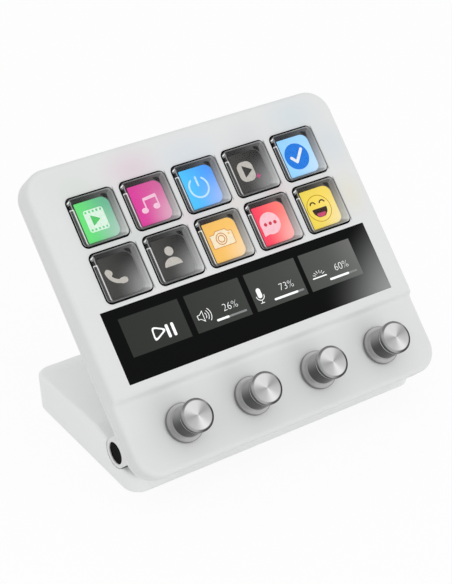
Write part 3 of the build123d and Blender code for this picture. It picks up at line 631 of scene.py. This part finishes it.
WINDOW = rounded_loop(-6.9, 7.05, -8.4, 7.3, (3.2, 0.35, 0.35, 3.0))
RIM = rounded_loop(-9.45, 9.45, -9.4, 9.4, (1.7, 1.7, 1.7, 1.7))
FLOOR_DEPTH = 0.72  # how far the well's floor lies under the face
PICTURE_FLOOR = FACE - FLOOR_DEPTH
WELL_PROFILE = [
    # spread from the key's middle, share of the way from rim to window, height from the face
    (0.0, 0.0, -2.1),
    (1.0, 0.0, -2.1),
    (1.0, 0.0, 0.80),
    (1.0, 0.03, 0.90),
    (1.0, 0.07, 0.93),
    (1.0, 0.11, 0.92),
    (1.0, 0.16, 0.86),
    (1.0, 0.22, 0.78),
    (1.0, 0.30, 0.63),
    (1.0, 0.40, 0.46),
    (1.0, 0.50, 0.28),
    (1.0, 0.60, 0.08),
    (1.0, 0.70, -0.13),
    (1.0, 0.80, -0.34),
    (1.0, 0.88, -0.54),
    (1.0, 0.94, -0.66),
    (1.0, 1.0, -FLOOR_DEPTH),
    (0.0, 1.0, -FLOOR_DEPTH),
]


def well_grid(centre):
    """Ring by ring: (rim + share * (window - rim)) * spread, at the profile's height."""
    spread, share, height = np.array(WELL_PROFILE).T
    loop = RIM + share[:, None, None] * (WINDOW - RIM)
    flat = loop * spread[:, None, None]
    level = np.broadcast_to((FACE + height)[:, None, None], flat.shape[:2] + (1,))
    share = np.broadcast_to(share[:, None], flat.shape[:2])
    return np.concatenate([flat + np.array(centre), level], -1), flat, share


print("well profile:", len(WELL_PROFILE), "rings of", len(RIM), "points")


# %% [markdown]
# ## The well's finish
# The four walls of a well look very different under a clear cap, which bends and reflects light onto
# them, and their tones are painted: painted reflection, painted highlight and painted shade. The left
# one is black with bright hairlines, painted highlights where the cap's edge catches light, the upper
# one dark grey, the lower one grey and lighter towards its right, and the right one hazy, darker at the
# top and pale at the bottom. The hairlines are thinner than the cap's own round, so they are drawn from
# the share of the way down the wall instead of modelled. The UV map holds each point's place on the
# key, so one finish serves all ten wells.


# %% Well finish
STEP_UP = 5.3  # millimetres up the key: the left wall's lines end here, under a small step


def hairline(share, middle, half):
    """A narrow bump of the share: 1 on the line, 0 half a width away to both sides."""
    return abs(share - middle).ramp(half, half * 0.35)


def well_walls():
    """Which wall a point is on follows from the larger of its two parts. Each wall has a tone of painted
    reflection and shade that runs along it, and lines of painted highlight at fixed shares of the way down
    it. The glints lie in a slot that no lamp reaches, so they carry a little light of their own: painted
    glints."""
    finish = Finish("well_walls")
    place, x, y = finish.on_key()
    share = finish.add("ShaderNodeAttribute", {"attribute_name": "share"}, (), "Fac")
    rise = finish.panel()[2] - FACE
    grain = finish.noise(place, 14.0, 3.0, 0.6)

    # which wall
    reach_y = y.math("MAXIMUM", y * -1.0 - share * 1.4)
    right = (x - reach_y).ramp(-0.6, 0.5)
    left = (x * -1.0 - reach_y).ramp(-0.6, 0.4)
    above = (y - abs(x)).ramp(-0.6, 0.6)

    # the lower, upper and right walls, in painted reflection and painted shade
    drift = x.ramp(-8.0, 8.0)
    below_tone = (0.19 + 0.021 * x + 0.0016 * x * x) * (1 - 0.15 * share.ramp(0.6, 1.0))
    below_tone = below_tone + 0.13 * share.ramp(0.45, 0.1)
    above_tone = 0.037 + 0.11 * drift * drift - 0.012 * hairline(share, 0.88, 0.16)
    above_tone = above_tone + (0.16 + 0.05 * drift) * hairline(share, 0.14, 0.12)
    right_tone = 0.42 - 0.028 * y
    beside = share.ramp(0.66, 0.92) * (0.27 + 0.01 * y)
    right_tone = right_tone * (1 - beside) * (1 - 0.55 * share.ramp(0.1, 0.02))
    right_tone = right_tone + 0.09 * hairline(share, 0.21, 0.13)

    # the left wall with its lines of painted highlight
    lower = y.ramp(STEP_UP + 0.3, STEP_UP)
    bright_line = (0.32 + 0.01 * y) * hairline(share, 0.46, 0.17)
    outer_line = abs(rise - 0.12).ramp(0.4, 0.15) * lower
    left_tone = 0.05 * lower + bright_line + 0.4 * outer_line
    shelf = y.band(6.95, 7.15, 8.0, 8.2) * share.ramp(0.3, 0.2)
    slant = hairline(y - x * 0.5, 12.75, 0.4) * share.ramp(0.5, 0.4)
    step = hairline(y, STEP_UP - 0.2, 0.32) * share.ramp(0.5, 0.4)
    left_tone = left_tone + 0.34 * shelf + 0.6 * slant + 0.5 * step + 0.025

    # all four together, then painted shade in a crescent by the window and in the left corners
    tone = below_tone * (1 - above) + above_tone * above
    tone = tone * (1 - right) + right_tone * right
    tone = tone * (1 - left) + left_tone * left
    crescent = share.ramp(0.5, 0.7) * (x + y).ramp(12.2, 13.2) * x.ramp(7.5, 6.9)
    dark_corner = (abs(y) - x).ramp(17.4, 18.6)
    tone = tone * (1 - 0.88 * crescent) * (1 - 0.8 * dark_corner) * (0.9 + 0.2 * grain)
    # painted glints: the left wall's lines glow a little, apart from the dark corners
    glint = left * (0.2 * outer_line + 0.3 * slant + 0.2 * step + 0.12 * bright_line)
    return finish.surface(
        finish.tone(tone), 0.3 + 0.2 * grain, Specular_IOR_Level=0.08,
        Emission_Color=finish.tone(glint * (1 - dark_corner)), Emission_Strength=1.0,
    )


# one finish of painted reflection, highlight and shade for all ten wells
painted_light_walls = well_walls()
for number, centre in KEYS.items():
    grid, flat, share = well_grid(centre)
    mesh = grid_mesh(f"key_well_{number}", grid, flat / REACH, share)
    finished(f"key_well_{number}", mesh, painted_light_walls, f"key_{number}")
print("wells:", len(KEYS), "of", len(mesh.polygons), "faces each")

# %% [markdown]
# ## The lit pictures
# A picture is a thin glowing plate on the well's floor. Its colour runs from left to right, and a grey
# haze from the cap, a painted reflection, lies over its right side. The plate is the window's own loop,
# drawn in by rings, so it fits the well exactly. A little emission keeps it bright as a screen is, without
# lighting the room.


# %% Picture plates
BRIGHT_HAZE, DARK_HAZE = 0.3696, 0.336  # share of grey at the haze's thickest: a painted reflection of the cap
HAZE_COLOUR = (0.8, 0.8, 0.8)


def lit(name, start, end, haze):
    """A screen colour: start to end across, then a haze of painted reflection that is thickest in the lower
    right corner.
    """
    finish = Finish(name)
    place, x, y = finish.on_key()
    colour = finish.mix(x.ramp(-8.5, 8.0), start, end)
    dots = finish.noise(place, 60.0, 1.0, 0.5)
    # painted reflection of the cap, thickest in the lower right corner
    painted_reflection = x.ramp(-5.0, 8.5) * (x * 0.25 - y).ramp(-5.0, 9.5) * haze
    colour = finish.mix(painted_reflection, colour, HAZE_COLOUR)
    colour = finish.mix(dots * 0.04, colour, (0.5, 0.5, 0.5))
    return finish.surface(
        colour, 0.25 + 0.1 * dots, Specular_IOR_Level=0.1, Emission_Color=colour, Emission_Strength=0.3
    )


def picture_grid(centre, low_level, high_level):
    """The window's loop drawn in to a point on both faces of a thin plate, with a fine bevel above."""
    spread = np.array([0.0, 1.0, 1.0, 0.985, 0.0])
    level = np.array([low_level, low_level, high_level - 0.01, high_level, high_level])
    flat = WINDOW * spread[:, None, None]
    height = np.broadcast_to(level[:, None, None], flat.shape[:2] + (1,))
    return np.concatenate([flat + np.array(centre), height], -1), flat


DARK_SCREEN = (56, 55, 53), (20, 20, 19)
PICTURES = {
    # the colour at the left and at the right
    1: ((97, 218, 112), (101, 172, 142)),
    2: ((209, 48, 148), (201, 95, 151)),
    3: ((70, 189, 241), (68, 146, 239)),
    4: DARK_SCREEN,
    5: ((147, 205, 243), (159, 209, 243)),
    6: DARK_SCREEN,
    7: DARK_SCREEN,
    8: ((234, 183, 91), (239, 190, 100)),
    9: ((243, 50, 87), (243, 122, 112)),
    10: ((229, 205, 77), (237, 210, 94)),
}
PICTURE_BACK, PICTURE_FACE = PICTURE_FLOOR + 0.005, PICTURE_FLOOR + 0.06
for number, colours in PICTURES.items():
    grid, flat = picture_grid(KEYS[number], PICTURE_BACK, PICTURE_FACE)
    mesh = grid_mesh(f"key_picture_{number}", grid, flat / REACH)
    haze = DARK_HAZE if colours is DARK_SCREEN else BRIGHT_HAZE
    glow = lit(f"picture_{number}", shade(*colours[0]), shade(*colours[1]), haze)
    finished(f"key_picture_{number}", mesh, glow, f"key_{number}")
print("pictures:", len(PICTURES))

# %% [markdown]
# ## Marks on the keys
# The keys show everyday signs: a film strip, notes, a power ring, a camera and so on, all drawn here
# from arcs and straight runs. A flat curve fills its outlines and leaves holes where one lies inside
# another, which is just what a sign needs, so every mark is a flat curve made a mesh, then laid on the
# panel a few hundredths above the picture.


# %% Outlines
def arc(x, y, radius, start=0.0, end=360.0, steps=40):
    """Points of a circle's arc in degrees, counter-clockwise when the end is larger."""
    turn = np.radians(np.linspace(start, end, steps, endpoint=abs(end - start) < 360))
    return np.stack([x + radius * np.cos(turn), y + radius * np.sin(turn)], -1)


def ribbon(path, width):
    """A closed outline around a path: half the width to each side, with half-round ends."""
    path = np.asarray(path, float)
    run = np.gradient(path, axis=0)
    run /= np.linalg.norm(run, axis=1, keepdims=True)
    side = np.stack([-run[:, 1], run[:, 0]], -1) * width / 2
    head = math.degrees(math.atan2(run[-1, 1], run[-1, 0]))
    tail = math.degrees(math.atan2(run[0, 1], run[0, 0]))
    front = arc(*path[-1], width / 2, head - 90, head + 90, 12)
    back = arc(*path[0], width / 2, tail + 90, tail + 270, 12)
    return np.concatenate([path - side, front, (path + side)[::-1], back])


def softened(points, radius, steps=6):
    """A polygon with rounded corners: near each corner, a curve between the points a radius before
    and after it, bent by the corner as its control point."""
    here = np.asarray(points, float)
    before = np.roll(here, 1, 0) - here
    after = np.roll(here, -1, 0) - here
    before *= radius / np.linalg.norm(before, axis=1, keepdims=True)
    after *= radius / np.linalg.norm(after, axis=1, keepdims=True)
    t = np.linspace(0, 1, steps)[:, None, None]
    curve = (1 - t) ** 2 * (here + before) + 2 * t * (1 - t) * here + t**2 * (here + after)
    return curve.transpose(1, 0, 2).reshape(-1, 2)


def box(left, right, low, high, radius):
    """A rectangle with four equal round corners."""
    return rounded_loop(left, right, low, high, (radius,) * 4, 6)


print("a box with round corners has", len(box(0, 1, 0, 1, 0.1)), "points")


# %% Plates from outlines
def flat_mesh(name, curve, centre, level, thickness):
    """Makes a filled flat curve a mesh, stands its back on the level and lays it on the panel."""
    holder = bpy.data.objects.new(name, curve)
    bpy.context.scene.collection.objects.link(holder)
    bpy.context.view_layer.update()
    shown = holder.evaluated_get(bpy.context.evaluated_depsgraph_get())
    mesh = bpy.data.meshes.new_from_object(shown)
    bpy.data.objects.remove(holder)
    flat = np.zeros(len(mesh.vertices) * 3)
    mesh.vertices.foreach_get("co", flat)
    flat = flat.reshape(-1, 3) + np.array([*centre, level + thickness / 2])
    mesh.vertices.foreach_set("co", on_panel(flat).ravel())
    mesh.materials.clear()
    mesh.name = name
    return sewn(mesh)


def plate(name, outlines, centre, level, thickness, finish, body):
    """Fills closed outlines; one that lies inside another cuts a hole in it."""
    curve = bpy.data.curves.new(name, "CURVE")
    curve.dimensions = "2D"
    curve.fill_mode = "BOTH"
    curve.extrude = thickness / 2
    for outline in outlines:
        spline = curve.splines.new("POLY")
        spline.points.add(len(outline) - 1)
        spline.points.foreach_set("co", np.pad(outline, ((0, 0), (0, 2))).ravel())
        spline.use_cyclic_u = True
    finished(name, flat_mesh(name, curve, centre, level, thickness), finish, body)


print("plates ready")


# %% Mark finishes
def printed(name, colour, glow=0.12):
    """A lit mark: its colour, faintly uneven, with a little light of its own."""
    finish = Finish(name)
    across, up, _ = finish.panel()
    cloud = finish.noise(finish.point(across, up), 0.9, 2.0, 0.5)
    tone = finish.mix(cloud.ramp(0.3, 0.7), colour, [part * 0.9 for part in colour])
    return finish.surface(
        tone, 0.3 + 0.1 * cloud, Specular_IOR_Level=0.1, Emission_Color=tone, Emission_Strength=glow
    )


INK_COLOURS = {
    "mint": (232, 250, 236),
    "green": (92, 205, 112),
    "rose": (252, 212, 232),
    "ice": (206, 238, 252),
    "bone": (205, 200, 193),
    "coal": (58, 56, 53),
    "pink": (206, 84, 142),
    "blue": (28, 128, 230),
    "white": (246, 249, 252),
    "cream": (254, 240, 212),
    "amber": (208, 146, 70),
    "blush": (254, 208, 218),
    "red": (214, 60, 84),
    "line": (196, 160, 40),
    "brown": (50, 34, 28),
    "tongue": (206, 74, 122),
}
INK = {name: printed(f"ink_{name}", shade(*colour)) for name, colour in INK_COLOURS.items()}
MARK = 0.03  # a mark's thickness
SINK = 0.005  # how far a sign stands in the picture or tile that carries it


def mark(number, layer, ink, outlines):
    """One colour of a key's sign; layer 1 lies on the picture, layer 2 on layer 1, and so on."""
    level = PICTURE_FACE - SINK + (layer - 1) * MARK
    name = f"key_sign_{number}_{layer}_{ink}"
    plate(name, outlines, KEYS[number], level, MARK, INK[ink], f"key_{number}")


print("inks:", len(INK))

# %% Film, notes and power
HOLE = 0.42  # half the width of a hole in the film
film_holes = [
    box(x - HOLE, x + HOLE, y - HOLE, y + HOLE, 0.15) for y in (3.0, -3.9) for x in np.linspace(-3.6, 2.6, 5)
]
mark(1, 1, "mint", [box(-4.6, 3.6, -4.75, 3.85, 1.0), *film_holes])
mark(1, 2, "green", [softened([(-2.3, 1.75), (-2.3, -2.55), (1.35, -0.4)], 0.5)])

beam = [(-2.6, 1.88), (3.3, 2.5), (3.3, 1.22), (-2.6, 0.78)]
stems = [box(-2.72, -2.15, -2.9, 1.5, 0.1), box(2.78, 3.35, -2.4, 2.0, 0.1)]
heads = [arc(-3.3, -2.9, 1.27), arc(1.95, -2.4, 1.27)]
heads = [(head - head.mean(0)) * (1.12, 0.86) + head.mean(0) for head in heads]
mark(2, 1, "rose", [softened(beam, 0.12)])
mark(2, 2, "rose", stems)
mark(2, 3, "rose", heads)

RING_X = -1.05
ring = arc(RING_X, -0.5, 4.05, 128, 412, 60)
switch = [(RING_X, 3.6), (RING_X, 1.8), (RING_X, 0.2)]
mark(3, 1, "ice", [ribbon(ring, 0.75), ribbon(switch, 0.8)])
print("keys 1 to 3 signed")

# %% Play tile, tick, handset and person
mark(4, 1, "bone", [box(-5.4, 1.6, -4.35, 3.7, 2.6)])
mark(4, 2, "coal", [softened([(-3.1, 2.35), (-3.1, -2.65), (0.9, -0.15)], 0.45)])
cross = [(x * 0.8 + 2.35, y * 0.8 - 3.35) for x, y in (
    (0.35, 1.3), (0.35, 0.35), (1.3, 0.35), (1.3, -0.35), (0.35, -0.35), (0.35, -1.3),
    (-0.35, -1.3), (-0.35, -0.35), (-1.3, -0.35), (-1.3, 0.35), (-0.35, 0.35), (-0.35, 1.3),
)]
mark(4, 3, "pink", [softened(cross, 0.12)])

mark(5, 1, "blue", [arc(-0.75, -0.65, 5.4, steps=64)])
tick = np.array([(-3.35, -0.75), (-1.55, -2.75), (2.25, 1.75)])
for layer, stroke in ((2, tick[:2]), (3, tick[1:])):
    mark(5, layer, "white", [ribbon(stroke, 1.25)])

handset = arc(-0.35, 2.1, 4.9, 186, 264, 30)
ends = [[(-4.75, 1.6), (-4.2, 1.1)], [(-0.35, -2.75), (0.8, -2.75)]]
mark(6, 1, "bone", [ribbon(handset, 1.55)])
mark(6, 2, "bone", [ribbon(end, 2.3) for end in ends])

half_round = arc(-1.1, -3.5, 3.75, 0, 180, 40) * (1, 0.82) + (0, -0.63)
shoulders = np.concatenate([half_round, [(-4.85, -3.6), (2.65, -3.6)]])
mark(7, 1, "bone", [arc(-0.95, 2.05, 1.8), softened(shoulders, 0.05, 3)])
print("keys 4 to 7 signed")

# %% Camera, speech and smile
case = softened(
    [
        (-5.6, 2.35), (-3.4, 2.35), (-2.7, 3.45), (1.9, 3.45),
        (2.6, 2.35), (4.3, 2.35), (4.3, -3.0), (-5.6, -3.0),
    ],
    0.5,
)
LENS = (-1.05, 0.1)
mark(8, 1, "cream", [case, arc(2.75, 1.35, 0.5)])
mark(8, 2, "amber", [arc(*LENS, 2.4), arc(*LENS, 2.05)])
mark(8, 3, "amber", [arc(*LENS, 1.5), arc(*LENS, 1.15)])
mark(8, 4, "amber", [ribbon(np.concatenate([case, case[:2]]), 0.24)])

bubble = np.concatenate([arc(-1.45, -0.2, 4.45, -116, 194, 60), [(-5.8, -4.7)]])
mark(9, 1, "blush", [softened(bubble, 0.05, 3)])
mark(9, 2, "red", [arc(x, -0.25, 0.72) for x in (-3.65, -1.45, 0.75)])

SMILE = (-1.0, -0.8)
mouth = [(-4.5, -0.75), (2.5, -0.75), (2.1, -2.75), (0.45, -4.35), (-2.45, -4.35), (-4.1, -2.75)]
tongue = [(-3.1, -2.6), (1.1, -2.6), (1.0, -3.45), (0.2, -4.2), (-2.2, -4.2), (-3.0, -3.45)]
closed_eyes = [ribbon(arc(x, 0.9, 1.2, 20, 160, 16), 0.55) for x in (-3.2, 1.2)]
mark(10, 1, "line", [arc(*SMILE, radius, steps=64) for radius in (5.5, 5.2)])
mark(10, 2, "brown", [softened(mouth, 0.6), *closed_eyes])
mark(10, 3, "tongue", [softened(tongue, 0.45)])
print("keys 8 to 10 signed")

# %% [markdown]
# ## Tiles and levels on the touch strip
# The strip's screen shows four dark grey tiles. The first has a play and pause sign, the others a sign,
# a level in plain numbers and a bar that is filled as far. They are thin plates again, because the tile
# edges and numbers have to stay sharp at any size.

# %% Strip tiles
TILE = 0.03  # a tile's thickness
SIGN = 0.025  # a sign's thickness
TILE_LOW, TILE_HIGH = 28.4, 43.4
TILES = [(-54.3, -28.9), (-26.2, -1.9), (0.6, 24.1), (26.2, 50.7)]
SIGN_LEVEL = STRIP_FACE + TILE - SINK


def tile_glow():
    """Dark grey screen: lighter with the square of the way across, and with a sheen of painted reflection at
    the far right.
    """
    finish = Finish("tile_glow")
    across, up, _ = finish.panel()
    cloud = finish.noise(finish.point(across, up), 0.05, 2.0, 0.5)
    fade = (across + 60.0) / 110.0
    colour = finish.mix(fade * fade * (0.9 + 0.2 * cloud), shade(50, 52, 49), shade(91, 93, 90))
    # painted reflection: a sheen at the far right
    colour = finish.mix(across.ramp(36.0, 58.0) * 0.35, colour, shade(150, 151, 150))
    return finish.surface(colour, 0.2 + 0.1 * cloud, Specular_IOR_Level=0.06)


def strip_sign(name, ink, outlines, layer=0):
    """A flat sign on the tiles, in panel millimetres; layer 1 lies on layer 0."""
    level = SIGN_LEVEL + layer * (SIGN - SINK)
    plate(name, outlines, (0, 0), level, SIGN, ink, "head")


DIGIT_SHARE = 0.73  # a digit's height as a share of the text's size
THINNER = -0.08  # the strokes are drawn in by this much


def number_sign(name, words, corner, height, ink):
    """Plain numbers from the built-in letter shapes, thinned a little, with their lower left end at the
    corner: the text's size is the height of a digit over its share."""
    text = bpy.data.curves.new(name, "FONT")
    text.body = words
    text.size = height / DIGIT_SHARE
    text.extrude = SIGN / 2
    text.offset = THINNER
    text.resolution_u = 6
    mesh = flat_mesh(name, text, corner, SIGN_LEVEL, SIGN)
    finished(name, mesh, ink, "head")


tile_loops = [box(left, right, TILE_LOW, TILE_HIGH, 0.2) for left, right in TILES]
plate("strip_tiles", tile_loops, (0, 0), STRIP_FACE, TILE, tile_glow(), "head")
print("tiles:", len(TILES))

# %% Signs on the tiles
screen_white = printed("screen_white", shade(240, 242, 242), 0.25)
screen_grey = printed("screen_grey", shade(136, 138, 138), 0.05)
play = np.array([(-43.1, 36.5), (-43.5, 31.3), (-38.0, 34.2)])
play_middle = (-41.7, 34.1)
triangle = softened((play - play_middle) * 1.19 + play_middle, 2.0)
hollow = softened((play - play_middle) * 0.81 + play_middle, 1.3)
bars = [box(x - 0.6, x + 0.6, 30.8, 35.9, 0.5) for x in (-37.3, -34.9)]
strip_sign("strip_play_pause", screen_white, [triangle, hollow, *bars])

cone = np.array([(-24.15, 34.9), (-23.0, 34.9), (-21.4, 36.3), (-21.4, 31.7), (-23.0, 33.1), (-24.15, 33.1)])
cone_middle = (-22.6, 34.0)
cone_hole = softened((cone - cone_middle) * (0.8, 0.76) + cone_middle, 0.1)
cone = softened(cone, 0.25)
waves = [ribbon(arc(-21.65, 34.0, r, -42, 42, 14), 0.25) for r in (1.4, 2.45, 3.5)]
strip_sign("strip_speaker", screen_white, [cone, cone_hole, *waves])

MIC_X = 4.05
capsule = ribbon([(MIC_X, 36.0), (MIC_X, 35.0), (MIC_X, 34.0)], 1.95)
cradle = ribbon(arc(MIC_X, 33.9, 1.7, 180, 360, 20), 0.28)
stand = [box(3.92, 4.18, 31.2, 32.2, 0.05), box(3.15, 4.95, 30.95, 31.2, 0.05)]
strip_sign("strip_microphone", screen_white, [capsule, cradle, *stand])

RAY_CENTRE = np.array([31.8, 33.2])
RAY_ENDS = np.array([[1.65], [2.8]])
turns = np.radians([-64, -39, -14, 11, 36, 61])
ways = [np.array([1.1 * math.sin(turn), 0.85 * math.cos(turn)]) for turn in turns]
rays = [ribbon(RAY_CENTRE + RAY_ENDS * way, 0.2) for way in ways]
strip_sign("strip_rays", screen_white, [*rays, ribbon([(28.7, 32.95), (34.8, 32.95)], 0.5)])
print("strip signs drawn, with", len(rays), "rays")

# %% Levels
BAR_UP = 30.7  # the bars' line up the panel
NUMBERS_FOOT, NUMBERS_HEIGHT = 33.1, 2.95
LEVELS = [
    # numbers, their left end, the bar's left and right end, how far it is filled
    ("26%", -12.9, -16.6, -3.9, -11.9),
    ("73%", 13.0, 9.7, 22.7, 19.9),
    ("60%", 39.3, 36.0, 48.3, 44.3),
]
for number, (words, start, left, right, stop) in enumerate(LEVELS, 1):
    track = ribbon([(left, BAR_UP), (right, BAR_UP)], 0.75)
    fill = ribbon([(left, BAR_UP), (stop, BAR_UP)], 0.85)
    number_sign(f"strip_level_{number}", words, (start, NUMBERS_FOOT), NUMBERS_HEIGHT, screen_white)
    strip_sign(f"strip_track_{number}", screen_grey, [track])
    strip_sign(f"strip_fill_{number}", screen_white, [fill], 1)
print("levels:", ", ".join(row[0] for row in LEVELS))

# %% [markdown]
# ## Floor, light and surround
# The keypad stands on a plain pale floor in a white studio. The surround is white where the camera, a
# reflection or a see-through part looks at it, and a little weaker as a light, so that a colour renders
# about as it is written once the lamps have added their share. The floor keeps a faint shadow: most of
# what the camera sees of it is plain white, the rest is lit. For the object's own light it is a pale
# table, a fifth of whose light is even.


# %% Studio
SURROUND_LIGHT = 0.88  # the surround's strength as a light
SEEN_WHITE = 0.9  # share of plain white where the floor is seen
EVEN_LIGHT = 0.2  # and where it lights the object


class Surround(Finish):
    """The same node tools on the tree of a world."""

    def __init__(self, name):
        world = bpy.data.worlds.new(name)
        world.use_nodes = True
        bpy.context.scene.world = world
        self.tree = world.node_tree
        self.end = self.tree.nodes["Background"]


def looked_at(finish, otherwise, seen):
    """The value seen for rays of the camera, of a reflection and through a clear part, and the value
    otherwise for all other light: otherwise + ray * (seen - otherwise), where ray is 1 or 0."""
    camera, mirror, through = [
        finish.add("ShaderNodeLightPath", {}, (), f"Is {kind} Ray")
        for kind in ("Camera", "Glossy", "Transmission")
    ]
    return otherwise + camera.math("MAXIMUM", mirror).math("MAXIMUM", through) * (seen - otherwise)


def floor_finish():
    """Pale floor: for the eye and reflections it is mostly plain white, with its shade mixed in."""
    finish = Finish("pale_floor")
    grain = finish.noise(finish.place(), 60.0, 2.0, 0.5)
    colour = finish.mix(grain, (0.9, 0.9, 0.9), (0.88, 0.88, 0.88))
    matt = finish.add("ShaderNodeBsdfDiffuse", {}, {"Color": colour})
    glow = finish.add("ShaderNodeEmission", {}, {"Color": (1, 1, 1, 1), "Strength": 1.0})
    white = looked_at(finish, EVEN_LIGHT, SEEN_WHITE)
    both = finish.add("ShaderNodeMixShader", {}, [white, matt, glow])
    finish.feed(finish.end.inputs["Surface"], both)
    return finish.material


print("studio tools ready")

# %% Floor and surround
floor_mesh = bpy.data.meshes.new("floor")
floor_mesh.from_pydata([(-3, -3, 0), (3, -3, 0), (3, 3, 0), (-3, 3, 0)], [], [(0, 1, 2, 3)])
floor_mesh.materials.append(floor_finish())
floor = bpy.data.objects.new("floor", floor_mesh)
bpy.context.scene.collection.objects.link(floor)
floor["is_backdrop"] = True

surround = Surround("studio")
surround.feed(surround.end.inputs["Color"], (1, 1, 1, 1))
surround.feed(surround.end.inputs["Strength"], looked_at(surround, SURROUND_LIGHT, 1.0))
print("surround lights with", SURROUND_LIGHT)


# %% Lamps
def soft_lamp(name, place, target, size, watts):
    """A square lamp that faces its target."""
    light = bpy.data.lights.new(name, "AREA")
    light.size = size
    light.energy = watts
    lamp = bpy.data.objects.new(name, light)
    lamp.location = place
    lamp.rotation_euler = (Vector(target) - Vector(place)).to_track_quat("-Z", "Y").to_euler()
    bpy.context.scene.collection.objects.link(lamp)


soft_lamp("lamp_above", (-0.25, -0.35, 0.95), (0, 0, 0.04), size=0.9, watts=1.0)
soft_lamp("lamp_front", (0.25, -0.9, 0.12), (0, 0, 0.02), size=0.6, watts=1.7)
print("lamps:", len(bpy.data.lights))

# %% [markdown]
# ## The camera
# The keypad is seen from the front left and well above. The lens is long, as in product views, so the
# panel's edges stay nearly parallel. The sensor's 36 mm lie along the picture's longer, upright side.

# %% Camera
eye = bpy.data.cameras.new("camera")
eye.sensor_width = 36.0
eye.lens = 107.663
camera = bpy.data.objects.new("camera", eye)
camera.location = (-0.326426, -0.457470, 0.401535)
camera.rotation_euler = Euler([math.radians(turn) for turn in (57.7447, -0.977, -34.7763)])
bpy.context.scene.collection.objects.link(camera)
bpy.context.scene.camera = camera
bpy.context.scene.view_settings.view_transform = "Standard"
print("lens:", round(eye.lens, 1), "mm")

# %% Sizes
bpy.context.view_layer.update()
low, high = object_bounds()
